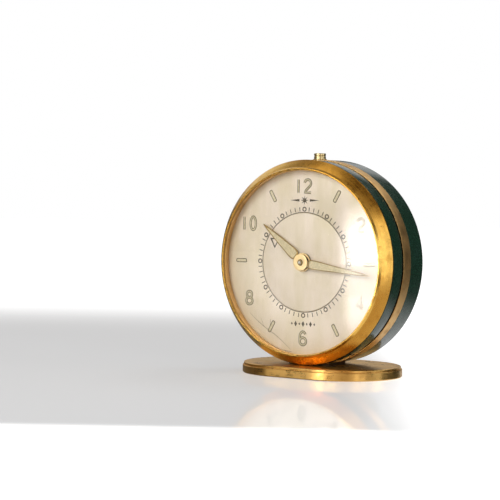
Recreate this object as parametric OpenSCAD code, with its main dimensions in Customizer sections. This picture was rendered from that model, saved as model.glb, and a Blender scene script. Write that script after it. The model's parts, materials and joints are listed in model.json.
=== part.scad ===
// Round travel alarm clock on a fixed oval brass base, in millimetres.
// Origin: centre of the base's underside. +Z is up and the dial looks towards -Y.
// Depths are measured behind the plane of the bezel's outer edge, so a negative depth lies in front.
// Clock angles are in degrees clockwise from 12, seen from the front.

/* [Case] */
// Radius of the bezel's outer edge and of the front ring
case_r = 30; // [29.6:0.1:30]
// Radius of the middle band and the rear shell
band_r = 30.2; // [30:0.1:30.2]
// Height of the dial's centre above the underside of the base
axis_z = 33.4; // [33.4:0.1:33.6]
// Distance of the bezel's outer edge in front of the base's middle
face_offset = 10.3; // [10:0.1:10.6]
// Radius of the opening in the bezel
opening_r = 27; // [26.8:0.1:27]
// How far the crystal is domed
dome = 1.9; // [1:0.1:2.2]

/* [Base] */
// Length of the base, along the face
base_length = 49.8; // [48:0.1:52]
// Width of the base, front to back
base_width = 34.8; // [33:0.1:35]
// Thickness of the base
base_thickness = 3.15; // [3:0.05:3.15]
// Set-back of the base's top edge
base_lip = 0.8; // [0.4:0.1:1.2]

/* [Dial and hands] */
// Radius of the rotating alarm disc
alarm_disc_r = 14.4; // [14:0.1:14.4]
// Height of the hour numerals
numeral_height = 4.3; // [3.5:0.1:4.6]
// Radius of the ring that the numerals stand on
numeral_r = 22.2; // [21.5:0.1:22.6]
// Length of the hour hand from the centre
hour_hand_length = 17.7; // [16:0.1:19]
// Length of the minute hand from the centre
minute_hand_length = 23.6; // [22:0.1:24.5]
// Clock angle of the hour hand
hour_angle = 308.2; // [0:0.1:360]
// Clock angle of the minute hand
minute_angle = 98; // [0:0.1:360]
// Clock angle of the alarm pointer
alarm_angle = 302; // [0:0.1:360]

/* [Movement] */
// Radius of the movement's two plates
plate_r = 21; // [20.8:0.1:21]
// Radius of the pivots that turn in the plates
pivot_r = 0.25; // [0.2:0.01:0.3]
// Radial clearance of everything that turns or slides
clearance = 0.05; // [0.03:0.01:0.08]
// Radius of the stop button
button_r = 1.75; // [1.6:0.05:1.8]
// Height of the stop button above the band
button_height = 1.85; // [1.6:0.05:2.3]

/* [Hidden] */
$fn = 72;

// Depths of the case's rings
front_ring = [0.35, 5.6];
band = [5.95, 9.9];
rear_ring = [9.9, 17.5];
inner_r = 28.55;
cover = [16.7, 17.3];
dial_depth = [0.2, 0.7];
front_plate_depth = [3.2, 4.4];
rear_plate_depth = [11.6, 12.8];
knob_depth = [17.7, 19.6];
button_y = 7.9 - face_offset;
bush_r = button_r + 0.2;
saddle_size = [14, 9];
base_screw_x = 4.2;

// Gearing: modules, teeth and centres, the centres as [x, height] from the dial's centre
motion_module = 0.25;
motion_reach = 5.0;
barrel_module = 0.25;
centre_module = 0.22;
third_module = 0.18;
fourth_module = 0.17;
function polar(r, clock) = [r * sin(clock), r * cos(clock)];
function towards(a, b) = 90 - atan2(b[1] - a[1], b[0] - a[0]);
centre = [0, 0];
minute_stud = polar(motion_reach, 150);
alarm_set = polar(9.0, 310);
going = polar(9.25, 232);
alarm = [7.9, -7.1];
third = [0, centre_module * 36];
fourth = third + polar(third_module * 34, 70);
escape = fourth + polar(fourth_module * 33, 150);
escape_r = 3.4;
pallet = escape + polar(escape_r / cos(30), 130);
balance = pallet + polar(4.6, 130);
cock_foot = balance + polar(7.6, 172);
strike = alarm + polar(barrel_module * 28, 225);
strike_r = 2.4;
strike_depth = [4.8, 5.2];
hammer = strike + polar(3.4, 225);
stop_pivot = [-6, 18.5];
pillars = [for (clock = [45, 150, 210, 315]) polar(18.8, clock)];
cover_screws = [for (clock = [60, 180, 300]) polar(26.3, clock)];

// Moves a part drawn as seen from the front, and built up towards it, to a place and a depth
module place(at, depth) translate([at[0], depth - face_offset, axis_z + at[1]]) rotate([90, 0, 0]) children();
// Round piece between two depths
module disc(at, r, d) place(at, d[1]) cylinder(r = r, h = d[1] - d[0]);
// Hole through a piece that lies between two depths
module hole(at, r, d) disc(at, r, [d[0] - 1, d[1] + 1]);
// Ring between two depths
module ring(at, outer, inner, d) difference() { disc(at, outer, d); hole(at, inner, d); }
// Flat piece between two depths, from an outline drawn as seen from the front
module flat(at, d) place(at, d[1]) linear_extrude(d[1] - d[0]) children();
// Piece turned about the case's axis, from points given as [radius, depth]
module turned(points) place(centre, 0) rotate_extrude() polygon([for (p = points) [p[0], -p[1]]]);
// Shaft with a pivot at each end
module shaft(at, r) { disc(at, r, [4.6, 11.4]); disc(at, pivot_r, [3.4, 12.6]); }

// Outline with teeth: each tooth is a trapezoid, its foot and tip given as parts of the pitch
module toothed(teeth, pitch_r, add, ded, foot, tip, phase)
    polygon([for (i = [0:teeth - 1], p = [[-foot, -ded], [-tip, add], [tip, add], [foot, -ded]])
        polar(pitch_r + p[1], phase + (i + p[0]) * 360 / teeth)]);
module wheel_teeth(teeth, m, phase) toothed(teeth, m * teeth / 2, 0.85 * m, 1.25 * m, 0.22, 0.10, phase);
module leaves(teeth, m, phase) toothed(teeth, m * teeth / 2, 0.6 * m, 1.2 * m, 0.15, 0.08, phase);
// Phase of a pinion whose gap faces a wheel in the given direction
function gap_phase(direction, teeth) = direction + 180 / teeth;
// Ratchet outline, radial on one side of each tooth
module ratchet(teeth, tip_r, root_r)
    polygon([for (i = [0:teeth - 1], p = [[0, root_r], [0, tip_r]]) polar(p[1], (i + p[0]) * 360 / teeth)]);
// Round lightening holes in a wheel
module crossings(at, count, r, reach, d) for (i = [0:count - 1])
    hole(at + polar(reach, 45 + i * 360 / count), r, d);

// Closed band of one width along a list of points
function normal(path, i) = let (a = path[max(i - 1, 0)], b = path[min(i + 1, len(path) - 1)], d = b - a)
    [-d[1], d[0]] / norm(d);
function offside(path, w) = [for (i = [0:len(path) - 1]) path[i] + normal(path, i) * w / 2];
function reversed(list) = [for (i = [len(list) - 1:-1:0]) list[i]];
module stroke(path, w) polygon(concat(offside(path, w), reversed(offside(path, -w))));
function arc(cx, cy, rx, ry, a0, a1) = [for (i = [0:8]) let (a = a0 + (a1 - a0) * i / 8)
    [cx + rx * cos(a), cy + ry * sin(a)]];
function spiral(r0, r1, turns) = [for (i = [0:turns * 16])
    polar(r0 + (r1 - r0) * i / (turns * 16), i * 22.5)];

module stadium(shrink, from, to) {
    end_r = base_width / 2;
    for (side = [-1, 1]) translate([side * (base_length / 2 - end_r), 0, from])
        cylinder(r = end_r - shrink, h = to - from);
    translate([-(base_length / 2 - end_r), -end_r + shrink, from])
        cube([base_length - base_width, base_width - 2 * shrink, to - from]);
}

module base_plate() color("darkgoldenrod") difference() {
    union() {
        stadium(0, 0, 2.35);
        stadium(0.45, 2.3, 2.55);
        stadium(base_lip / 2, 2.5, base_thickness);
    }
    for (side = [-1, 1]) translate([side * base_screw_x, button_y, -1]) {
        cylinder(r = 1.1, h = 6);
        cylinder(r = 2.1, h = 2.1);
    }
}

module base_saddle() color("goldenrod") difference() {
    translate([-saddle_size[0] / 2, button_y - saddle_size[1] / 2, base_thickness])
        cube([saddle_size[0], saddle_size[1], 1.4]);
    hole(centre, band_r + 0.03, [0, 18]);
    for (side = [-1, 1]) translate([side * base_screw_x, button_y, 0]) cylinder(r = 1.1, h = 8);
}

module base_screws() color("silver") for (side = [-1, 1]) translate([side * base_screw_x, button_y, 0]) {
    difference() {
        translate([0, 0, 0.2]) cylinder(r = 2, h = 0.85);
        translate([-3, -0.2, 0]) cube([6, 0.4, 0.5]);
    }
    translate([0, 0, 1]) cylinder(r = 1, h = 3.9);
}

module bezel() color("gold") turned([[opening_r, -3.0], [opening_r, -3.25], [27.15, -3.4], [27.4, -3.35],
    [27.8, -2.4], [case_r - 0.15, -0.15], [case_r, 0], [case_r, 0.15], [28.5, 0.2], [28.5, 2.2],
    [27.9, 2.2], [27.9, dial_depth[0]], [27.35, dial_depth[0]], [27.35, -3.0]]);

// Depth of a dome over a radius, from the depth of its edge
dome_edge_r = 27.3;
dome_sphere_r = (dome_edge_r * dome_edge_r + dome * dome) / (2 * dome);
function dome_depth(r, edge) = edge - sqrt(dome_sphere_r * dome_sphere_r - r * r) + dome_sphere_r - dome;
module crystal() color("white", 0.3) turned(concat(
    [for (i = [0:10]) let (r = dome_edge_r * i / 10) [r, dome_depth(r, -2.94)]],
    [for (i = [10:-1:0]) let (r = dome_edge_r * i / 10) [r, dome_depth(r, -2.2)]]));

module rehaut_ring() color("peru") turned([[26.7, -2.1], [27.3, -2.1], [27.3, 0.15], [27.0, 0.15]]);

module front_shell() color("darkslategray")
    turned([[28.6, front_ring[0]], [case_r - 0.15, front_ring[0]], [case_r, front_ring[0] + 0.15],
        [case_r, front_ring[1] - 0.1], [case_r - 0.1, front_ring[1]], [28.55, front_ring[1]], [28.55, 2.3]]);

module middle_band() color("darkgoldenrod") difference() {
    turned([[28.0, 5.0], [28.5, 5.0], [28.5, front_ring[1]], [29.5, front_ring[1]], [29.5, band[0]],
        [band_r - 0.1, band[0]], [band_r, band[0] + 0.1], [band_r, band[1]],
        [28.5, band[1]], [28.5, 11.2], [28.0, 11.2]]);
    translate([0, button_y, axis_z]) cylinder(r = bush_r + 0.02, h = 40);
    for (side = [-1, 1]) translate([side * base_screw_x, button_y, 0]) cylinder(r = 1, h = 10);
}

// Rounded back edge of the rear shell
shell_bend = 1.8;
rear_edge = [for (i = [0:6]) [band_r - shell_bend + shell_bend * cos(i * 15),
    rear_ring[1] - shell_bend + shell_bend * sin(i * 15)]];
module rear_shell() color("darkslategray") difference() {
    turned(concat([[inner_r, rear_ring[0]], [band_r, rear_ring[0]]], rear_edge,
        [[27.45, rear_ring[1]], [27.45, cover[0]], [25.4, cover[0]], [25.4, 15.9], [inner_r, 15.9]]));
    for (at = cover_screws) hole(at, 0.6, [15.9, cover[0]]);
}

module back_cover() color("goldenrod") difference() {
    disc(centre, 27.35, cover);
    hole(centre, 0.8, cover);
    hole(going, 1.3, cover);
    hole(alarm, 1.3, cover);
    hole(alarm_set, 0.8, cover);
    for (at = cover_screws) hole(at, 0.6, cover);
    flat(balance, [cover[0] - 1, cover[1] + 1])
        stroke([for (i = [0:8]) polar(6.2, 50 + i * 5)], 1.6);
}

module slotted_screw(at, head_r, r, head, end) {
    difference() {
        disc(at, head_r, head);
        flat(at, [head[1] - 0.25, head[1] + 1]) square([2 * head_r + 1, 0.3], center = true);
    }
    disc(at, r, [end, head[0] + 0.1]);
}

module back_cover_screws() color("silver")
    for (at = cover_screws) slotted_screw(at, 0.95, 0.58, [cover[1], cover[1] + 0.5], 15.95);

module button_bush() color("gold") translate([0, button_y, axis_z]) difference() {
    union() {
        translate([0, 0, 27.2]) cylinder(r = bush_r, h = band_r - 27.1);
        translate([0, 0, band_r + 0.01]) cylinder(r = bush_r + 0.1, h = 0.15);
    }
    translate([0, 0, 20]) cylinder(r = button_r + clearance, h = 20);
}

module dial() color("oldlace") ring(centre, 27.8, alarm_disc_r + 0.12, dial_depth);

// Digit strokes in a box one high and about half as wide
function digit_paths(digit) =
    digit == 0 ? [arc(0.25, 0.5, 0.24, 0.46, -95, 95), arc(0.25, 0.5, 0.24, 0.46, 85, 275)]
    : digit == 1 ? [[[0.25, 0], [0.25, 1]], [[0.27, 0.98], [0.04, 0.78]]]
    : digit == 2 ? [concat(arc(0.25, 0.72, 0.22, 0.25, 170, -40), [[0.03, 0.03]]), [[0, 0.05], [0.5, 0.05]]]
    : digit == 4 ? [[[0.38, 0], [0.38, 1]], [[0.38, 0.98], [0.02, 0.3]], [[0, 0.3], [0.52, 0.3]]]
    : digit == 6 ? [arc(0.25, 0.28, 0.22, 0.25, -95, 95), arc(0.25, 0.28, 0.22, 0.25, 85, 275),
        arc(0.57, 0.3, 0.54, 0.68, 182, 110)]
    : [arc(0.25, 0.76, 0.18, 0.2, -95, 95), arc(0.25, 0.76, 0.18, 0.2, 85, 275),
        arc(0.25, 0.27, 0.22, 0.25, -95, 95), arc(0.25, 0.27, 0.22, 0.25, 85, 275)];
module digit(number, x) translate([x, -numeral_height / 2]) for (path = digit_paths(number))
    stroke(path * numeral_height, 0.12 * numeral_height);

digit_width = 0.5 * numeral_height;
module hour_numerals() color("darkkhaki") for (hour = [2:2:12])
    flat(polar(numeral_r, hour * 30), [0.1, dial_depth[0]]) {
        if (hour < 10) digit(hour, -digit_width / 2);
        if (hour >= 10) digit(1, -digit_width - 0.25);
        if (hour >= 10) digit(hour - 10, 0.1);
    }

module hour_batons() color("darkkhaki") for (hour = [1:2:11])
    flat(centre, [0.1, dial_depth[0]]) rotate(-hour * 30) translate([-0.6, 20.3]) square([1.2, 3.9]);

module movement_ring() color("gray")
    turned([[plate_r + 0.05, dial_depth[1]], [27.8, dial_depth[1]], [27.8, 2.3], [28.5, 2.3], [28.5, 4.9],
        [27.9, 4.9], [27.9, 5.5], [20.2, 5.5], [20.2, front_plate_depth[1]],
        [plate_r + 0.05, front_plate_depth[1]]]);

train = [third, fourth, escape, pallet, strike, hammer];

module front_plate() color("khaki") difference() {
    disc(centre, plate_r, front_plate_depth);
    hole(centre, 0.5, front_plate_depth);
    for (at = concat(train, [balance])) hole(at, pivot_r + clearance, front_plate_depth);
    for (at = [going, alarm]) hole(at, 0.8 + clearance, front_plate_depth);
    hole(alarm_set, 0.5 + clearance, front_plate_depth);
    for (at = pillars) hole(at, 0.6, front_plate_depth);
}

module rear_plate() color("khaki") difference() {
    disc(centre, plate_r, rear_plate_depth);
    hole(centre, 0.5, rear_plate_depth);
    for (at = [third, fourth, escape, pallet, strike]) hole(at, pivot_r + clearance, rear_plate_depth);
    hole(hammer, 0.5 + clearance, rear_plate_depth);
    for (at = [going, alarm]) hole(at, 1 + clearance, rear_plate_depth);
    hole(alarm_set, 0.5 + clearance, rear_plate_depth);
    hole(balance, 1.6, rear_plate_depth);
    for (at = concat(pillars, [cock_foot])) hole(at, 0.6, rear_plate_depth);
}

module plate_pillars() color("goldenrod")
    for (at = pillars) ring(at, 1.1, 0.6, [front_plate_depth[1], rear_plate_depth[0]]);

module movement_screws() color("silver") {
    for (at = pillars) {
        slotted_screw(at, 1.2, 0.58, [rear_plate_depth[1], rear_plate_depth[1] + 0.6], 9.6);
        disc(at, 0.58, [front_plate_depth[0], 6.4]);
    }
    slotted_screw(cock_foot, 1.2, 0.58, [15.2, 15.8], 11.7);
}

module wheel_studs() color("silver") {
    disc(minute_stud, 0.45, [1.3, front_plate_depth[0]]);
    disc(stop_pivot, 0.5, [7.0, rear_plate_depth[0]]);
}

module balance_cock() color("khaki") difference() {
    union() {
        disc(cock_foot, 1.7, [rear_plate_depth[1], 15.2]);
        flat(balance, [14.5, 15.2]) stroke([polar(7.6, 172), [0, 0]], 2.4);
        disc(balance, 1.5, [14.5, 15.2]);
        disc(balance, 0.75, [15.1, 15.9]);
    }
    hole(balance, pivot_r + clearance, [14.5, 15.2]);
    hole(cock_foot, 0.6, [12.8, 15.2]);
}

module hairspring() color("steelblue") {
    flat(balance, [14.0, 14.2]) stroke(spiral(0.85, 2.9, 6), 0.08);
    disc(balance + [0, 2.9], 0.15, [13.9, 14.5]);
}

module gong() color("lightgray") {
    ring(centre, 24.8, 24.0, [13.0, 15.4]);
    place(centre, 15.4) translate([-1.5, 24.6, 0]) cube([3, 3.85, 2.4]);
}

// Hand outline: a long leaf of the given half widths at the given distances, pointing up
module leaf(stations) polygon(concat([for (s = stations) [s[1], s[0]]],
    reversed([for (s = stations) [-s[1], s[0]]])));

module minute_hand() color("goldenrod") difference() {
    union() {
        disc(centre, 2.7, [-1.85, -1.55]);
        flat(centre, [-1.85, -1.55]) rotate(-minute_angle)
            leaf([[2.2, 0.55], [3, 0.95], [4.5, 1.25], [6, 1.3], [9, 1.13], [12, 0.93], [17, 0.7],
                [21, 0.48], [minute_hand_length, 0.1]]);
    }
    hole(centre, 0.75, [-1.85, -1.55]);
}

module cannon_pinion() color("goldenrod") difference() {
    union() {
        disc(centre, 0.75, [-2.0, 3.0]);
        flat(centre, [2.1, 3.0]) leaves(10, motion_module, gap_phase(towards(centre, minute_stud), 10));
    }
    hole(centre, 0.45, [-2.0, 3.0]);
}

module centre_arbor() color("silver") disc(centre, 0.45, [-2.1, knob_depth[1] - 0.4]);

module knob(at, r, bore) difference() {
    union() {
        flat(at, [knob_depth[0] + 0.4, knob_depth[1]]) toothed(24, r - 0.1, 0.1, 0.1, 0.3, 0.15, 0);
        disc(at, r * 0.6, [knob_depth[0], knob_depth[0] + 0.5]);
    }
    disc(at, bore, [knob_depth[0] - 1, knob_depth[1] - 0.4]);
}

module time_knob() color("gold") knob(centre, 2.0, 0.45);

module hour_hand() color("goldenrod") difference() {
    union() {
        disc(centre, 2.7, [-0.8, -0.5]);
        flat(centre, [-0.8, -0.5]) rotate(-hour_angle)
            leaf([[2.2, 0.6], [3, 1.05], [4.5, 1.42], [6, 1.5], [8, 1.38], [11, 1.05], [14, 0.68],
                [hour_hand_length, 0.1]]);
    }
    hole(centre, 1.25, [-0.8, -0.5]);
}

module hour_wheel() color("khaki") difference() {
    union() {
        disc(centre, 1.25, [-0.8, 1.9]);
        flat(centre, [1.45, 1.85]) wheel_teeth(32, motion_module, towards(centre, minute_stud));
    }
    hole(centre, 0.75 + clearance, [-0.8, 1.9]);
}

module minute_wheel() color("khaki") difference() {
    union() {
        flat(minute_stud, [2.2, 2.6]) wheel_teeth(30, motion_module, towards(minute_stud, centre));
        flat(minute_stud, [1.35, 2.3]) leaves(8, motion_module, gap_phase(towards(minute_stud, centre), 8));
    }
    hole(minute_stud, 0.45 + clearance, [1.35, 2.6]);
}

module alarm_disc() color("antiquewhite") ring(centre, alarm_disc_r, 1.75, [0.15, 0.5]);

// Triangle outlined by a thin line, its point towards the alarm ring
pointer_tip = 13.8;
pointer_height = 2.95;
pointer_half = 1.77;
module alarm_pointer() color("darkgoldenrod") flat(centre, [0.08, 0.15]) rotate(-alarm_angle) difference() {
    polygon([[0, pointer_tip], [pointer_half, pointer_tip - pointer_height],
        [-pointer_half, pointer_tip - pointer_height]]);
    polygon([[0, pointer_tip - 0.8], [pointer_half - 0.62, pointer_tip - pointer_height + 0.35],
        [0.62 - pointer_half, pointer_tip - pointer_height + 0.35]]);
}

module alarm_wheel() color("khaki") difference() {
    union() {
        disc(centre, 1.75, [0.1, 1.3]);
        flat(centre, [0.9, 1.25]) wheel_teeth(60, motion_module, towards(centre, alarm_set));
    }
    hole(centre, 1.25 + clearance, [0.1, 1.3]);
}

module alarm_set_arbor() color("silver") {
    flat(alarm_set, [0.85, 1.35]) leaves(12, motion_module, gap_phase(towards(alarm_set, centre), 12));
    disc(alarm_set, 0.5, [0.85, knob_depth[1] - 0.4]);
}

module alarm_knob() color("gold") knob(alarm_set, 1.9, 0.5);

module stop_button() color("gold") translate([0, button_y, axis_z]) {
    translate([0, 0, 27.0]) cylinder(r = button_r, h = band_r - 27.0 + button_height);
    translate([0, 0, 22.6]) cylinder(r = 0.8, h = 4.5);
}

module stop_lever() color("silver") difference() {
    union() {
        disc(stop_pivot, 1.1, [7.4, 8.4]);
        flat(stop_pivot, [7.4, 8.4]) stroke([[0, 0], [4.0, 3.4], [6.6, 3.4]], 0.9);
        flat(stop_pivot, [7.4, 8.4]) stroke([[0, 0], [-3.6, -1.2]], 0.8);
    }
    hole(stop_pivot, 0.5 + clearance, [7.4, 8.4]);
}

module barrel(at, teeth, wall_r, phase) difference() {
    union() {
        disc(at, wall_r, [5.7, 10.2]);
        flat(at, [10.1, 10.7]) wheel_teeth(teeth, barrel_module, phase);
    }
    disc(at, wall_r - 0.35, [6.0, 9.9]);
    hole(at, 1 + clearance, [5.7, 10.7]);
}

// Coiled mainspring inside its barrel, as one flat spiral
module mainspring(at, r, turns) flat(at, [6.2, 9.7]) stroke(spiral(r * 0.45, r, turns), 0.16);

// Barrel shaft with its ratchet wheel, which the key turns
module winding_arbor(at) {
    disc(at, 1, [4.6, 18.2]);
    disc(at, 0.8, [3.3, 4.7]);
    flat(at, [13.0, 13.6]) ratchet(20, 3.0, 2.55);
}

// Key hub with a slot for its folding bow, and the hinge pin across the slot
hinge_depth = 20.4;
module key_hub(at) {
    difference() {
        disc(at, 2.2, [knob_depth[0], hinge_depth + 0.8]);
        disc(at, 1, [knob_depth[0] - 1, 18.2]);
        place(at, hinge_depth + 2) translate([-1.05, -3, 0]) cube([2.1, 6, 3]);
        key_pin(at, 2.6);
    }
    key_pin(at, 2.1);
}
module key_pin(at, half) place(at, hinge_depth) rotate([0, 90, 0]) translate([0, 0, -half])
    cylinder(r = 0.4, h = 2 * half);

// Folding bow: a round wing that lies flat against the back, with a tongue in the hub's slot
module key_bow(at) difference() {
    union() {
        difference() {
            disc(at + [0, -2.9], 4, [hinge_depth - 0.5, hinge_depth + 0.5]);
            hole(at, 2.5, [hinge_depth - 0.5, hinge_depth + 0.5]);
        }
        flat(at, [hinge_depth - 0.5, hinge_depth + 0.5]) translate([-1, -3.2]) square([2, 3.2]);
        place(at, hinge_depth) rotate([0, 90, 0]) translate([0, 0, -1]) cylinder(r = 0.75, h = 2);
    }
    key_pin(at, 2);
    place(at, hinge_depth) rotate([0, 90, 0]) translate([0, 0, -2]) cylinder(r = 0.4 + clearance, h = 4);
}

module going_barrel() color("gold") barrel(going, 64, 7.5, towards(going, centre));
module going_mainspring() color("steelblue") mainspring(going, 6.9, 7);
module going_arbor() color("silver") winding_arbor(going);
module going_key() color("gold") key_hub(going);
module going_key_bow() color("gold") key_bow(going);
module alarm_barrel() color("gold") barrel(alarm, 48, 5.5, towards(alarm, strike));
module alarm_mainspring() color("steelblue") mainspring(alarm, 4.9, 5);
module alarm_arbor() color("silver") winding_arbor(alarm);
module alarm_key() color("gold") key_hub(alarm);
module alarm_key_bow() color("gold") key_bow(alarm);

module centre_wheel() color("khaki") difference() {
    union() {
        disc(centre, 0.85, [4.6, 11.4]);
        flat(centre, [4.8, 5.2]) wheel_teeth(64, centre_module, towards(centre, third));
        flat(centre, [9.9, 11.0]) leaves(10, barrel_module, gap_phase(towards(centre, going), 10));
    }
    hole(centre, 0.45 + clearance, [4.6, 11.4]);
    crossings(centre, 4, 1.9, 4.0, [4.8, 5.2]);
}

module third_wheel() color("khaki") difference() {
    union() {
        shaft(third, 0.4);
        flat(third, [4.7, 5.5]) leaves(8, centre_module, gap_phase(towards(third, centre), 8));
        flat(third, [5.7, 6.1]) wheel_teeth(60, third_module, towards(third, fourth));
    }
    crossings(third, 4, 1.4, 3.0, [5.7, 6.1]);
}

module fourth_wheel() color("khaki") difference() {
    union() {
        shaft(fourth, 0.4);
        flat(fourth, [5.6, 6.4]) leaves(8, third_module, gap_phase(towards(fourth, third), 8));
        flat(fourth, [6.6, 7.0]) wheel_teeth(60, fourth_module, towards(fourth, escape));
    }
    crossings(fourth, 4, 1.3, 2.8, [6.6, 7.0]);
}

module escape_wheel() color("lightgray") {
    shaft(escape, 0.35);
    flat(escape, [6.5, 7.2]) leaves(6, fourth_module, gap_phase(towards(escape, fourth), 6));
    flat(escape, [9.6, 9.9]) ratchet(15, escape_r, 2.7);
}

// Anchor with two pallets just clear of the wheel, and a forked tail towards the balance
module pallet_fork() color("lightgray") {
    shaft(pallet, 0.3);
    flat(pallet, [9.6, 9.9]) rotate(-130) {
        for (side = [-1, 1]) stroke([[0, 0.1], [side * 1.9, -0.55], [side * 1.95, -1.0]], 0.55);
        stroke([[0, 0], [0, 3.2]], 0.6);
        for (side = [-1, 1]) stroke([[0, 3.0], [side * 0.5, 3.5], [side * 0.5, 3.9]], 0.3);
    }
}

module balance_wheel() color("goldenrod") {
    disc(balance, pivot_r, [3.4, 15.6]);
    disc(balance, 0.4, [4.6, 14.35]);
    ring(balance, 4.8, 4.1, [13.3, 13.8]);
    for (turn = [0, 90]) flat(balance, [13.4, 13.7]) rotate(turn) square([8.6, 0.6], center = true);
    disc(balance, 1.4, [10.0, 10.4]);
    disc(balance + polar(1.0, 310), 0.15, [9.95, 10.1]);
}

module regulator() color("silver") difference() {
    union() {
        disc(balance, 1.4, [15.3, 15.7]);
        flat(balance, [15.3, 15.7]) stroke([[0, 0], polar(6.2, 70)], 0.7);
        disc(balance + polar(6.2, 70), 0.5, [15.3, 18.2]);
    }
    hole(balance, 0.75 + clearance, [15.3, 15.7]);
}

module strike_wheel() color("lightgray") {
    shaft(strike, 0.4);
    flat(strike, [10.0, 10.9]) leaves(8, barrel_module, gap_phase(towards(strike, alarm), 8));
    flat(strike, strike_depth) ratchet(15, strike_r, 1.8);
}

// Verge with two pallets between the plates, and an arm behind them whose head strikes the gong
hammer_reach = 22.8 - norm(hammer);
hammer_direction = hammer / norm(hammer);
module alarm_hammer() color("silver") {
    disc(hammer, pivot_r, [3.4, 4.7]);
    disc(hammer, 0.5, [4.6, 14.8]);
    flat(hammer, strike_depth) rotate(-45) for (side = [-1, 1])
        stroke([[0, 0], [side * 1.5, 0.4], [side * 1.55, 1.1]], 0.4);
    flat(hammer, [13.6, 14.2]) stroke([[0, 0], hammer_direction * hammer_reach], 0.8);
    disc(hammer_direction * 22.6, 0.9, [13.2, 14.8]);
}

base_plate();
base_saddle();
base_screws();
bezel();
crystal();
rehaut_ring();
front_shell();
middle_band();
rear_shell();
back_cover();
back_cover_screws();
button_bush();
dial();
hour_numerals();
hour_batons();
movement_ring();
front_plate();
rear_plate();
plate_pillars();
movement_screws();
wheel_studs();
balance_cock();
hairspring();
gong();
minute_hand();
cannon_pinion();
centre_arbor();
time_knob();
hour_hand();
hour_wheel();
minute_wheel();
alarm_disc();
alarm_pointer();
alarm_wheel();
alarm_set_arbor();
alarm_knob();
stop_button();
stop_lever();
going_barrel();
going_mainspring();
going_arbor();
going_key();
going_key_bow();
alarm_barrel();
alarm_mainspring();
alarm_arbor();
alarm_key();
alarm_key_bow();
centre_wheel();
third_wheel();
fourth_wheel();
escape_wheel();
pallet_fork();
balance_wheel();
regulator();
strike_wheel();
alarm_hammer();
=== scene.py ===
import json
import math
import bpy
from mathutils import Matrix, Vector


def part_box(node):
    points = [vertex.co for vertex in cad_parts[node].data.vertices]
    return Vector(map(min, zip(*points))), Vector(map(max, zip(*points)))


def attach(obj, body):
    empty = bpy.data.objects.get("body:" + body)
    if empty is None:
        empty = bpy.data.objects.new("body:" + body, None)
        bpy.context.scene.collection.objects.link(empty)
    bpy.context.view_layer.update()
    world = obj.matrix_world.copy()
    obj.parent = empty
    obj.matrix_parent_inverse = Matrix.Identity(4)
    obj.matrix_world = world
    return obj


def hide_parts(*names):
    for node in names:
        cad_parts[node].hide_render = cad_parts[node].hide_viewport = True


bl_info = {
    "name": "Travel Alarm Clock",
    "version": (1, 0, 0),
    "blender": (4, 5, 0),
    "location": "View3D > Sidebar > Clock",
    "description": "Builds a round travel alarm clock with its finishes, lights and camera",
    "category": "Object",
}

import bmesh
import bpy
from bpy.props import FloatProperty, FloatVectorProperty, PointerProperty
from mathutils import Matrix, Quaternion, Vector

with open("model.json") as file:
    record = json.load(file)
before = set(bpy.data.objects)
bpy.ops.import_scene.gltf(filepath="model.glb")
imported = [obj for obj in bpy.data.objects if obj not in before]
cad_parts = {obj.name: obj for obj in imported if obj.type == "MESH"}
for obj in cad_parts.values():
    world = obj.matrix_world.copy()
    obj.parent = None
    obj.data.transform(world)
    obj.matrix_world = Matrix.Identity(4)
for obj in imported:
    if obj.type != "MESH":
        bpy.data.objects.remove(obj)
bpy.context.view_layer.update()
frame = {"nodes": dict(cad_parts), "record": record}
MM = 0.001


def node_box(name):
    """Lowest and highest corner of a CAD node, as vectors."""
    low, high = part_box(name)
    return Vector(low), Vector(high)


# Places that every piece is measured from, taken from the frame
BEZEL_LOW, BEZEL_HIGH = node_box("bezel")
BAND_LOW, BAND_HIGH = node_box("middle_band")
BASE_LOW, BASE_HIGH = node_box("base_plate")
BUTTON_LOW, BUTTON_HIGH = node_box("stop_button")
CASE_R = (BEZEL_HIGH.x - BEZEL_LOW.x) / 2
BAND_R = (BAND_HIGH.x - BAND_LOW.x) / 2
AXIS_Z = (BEZEL_HIGH.z + BEZEL_LOW.z) / 2

# Depths start at the bezel's outer edge, and its crest stands this far in front of that
CREST = 3.4 * MM
FACE_Y = BEZEL_LOW.y + CREST
DIAL_DEPTH = node_box("dial")[0].y - FACE_Y
CENTRE = Vector((0, FACE_Y, AXIS_Z))

CRYSTAL_R = 27.3 * MM
PRINT_THICKNESS = 0.02 * MM
SEGMENTS, BEZEL_SEGMENTS, SMALL_SEGMENTS = 192, 256, 96

# Grooves of the case: name, where the floor starts, where the far wall starts and ends
SEAMS = (("bezel_seam", 0.16, 0.40, 0.50), ("band_seam", 5.28, 5.84, 5.94))

# Outlines of the hands and of their paint: reach from the centre and half width
HOUR_HAND = [
    (2.0, 0.7), (2.7, 1.0), (3.3, 1.45), (4.2, 1.60), (5.6, 1.52), (8.0, 1.30), (11.0, 0.99),
    (14.0, 0.65), (16.4, 0.34),
]
HOUR_FILL = [
    (3.2, 1.02), (4.2, 1.32), (5.6, 1.25), (8.0, 1.04), (11.0, 0.75), (13.6, 0.44), (15.9, 0.10),
]
MINUTE_HAND = [
    (2.0, 0.6), (2.7, 0.9), (3.3, 1.22), (4.2, 1.36), (6.0, 1.30), (9.0, 1.12), (12.0, 0.92),
    (17.0, 0.66), (21.0, 0.42),
]
MINUTE_FILL = [
    (3.2, 0.84), (4.2, 1.10), (6.0, 1.05), (9.0, 0.88), (12.0, 0.69), (17.0, 0.44), (21.0, 0.10),
]

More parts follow.
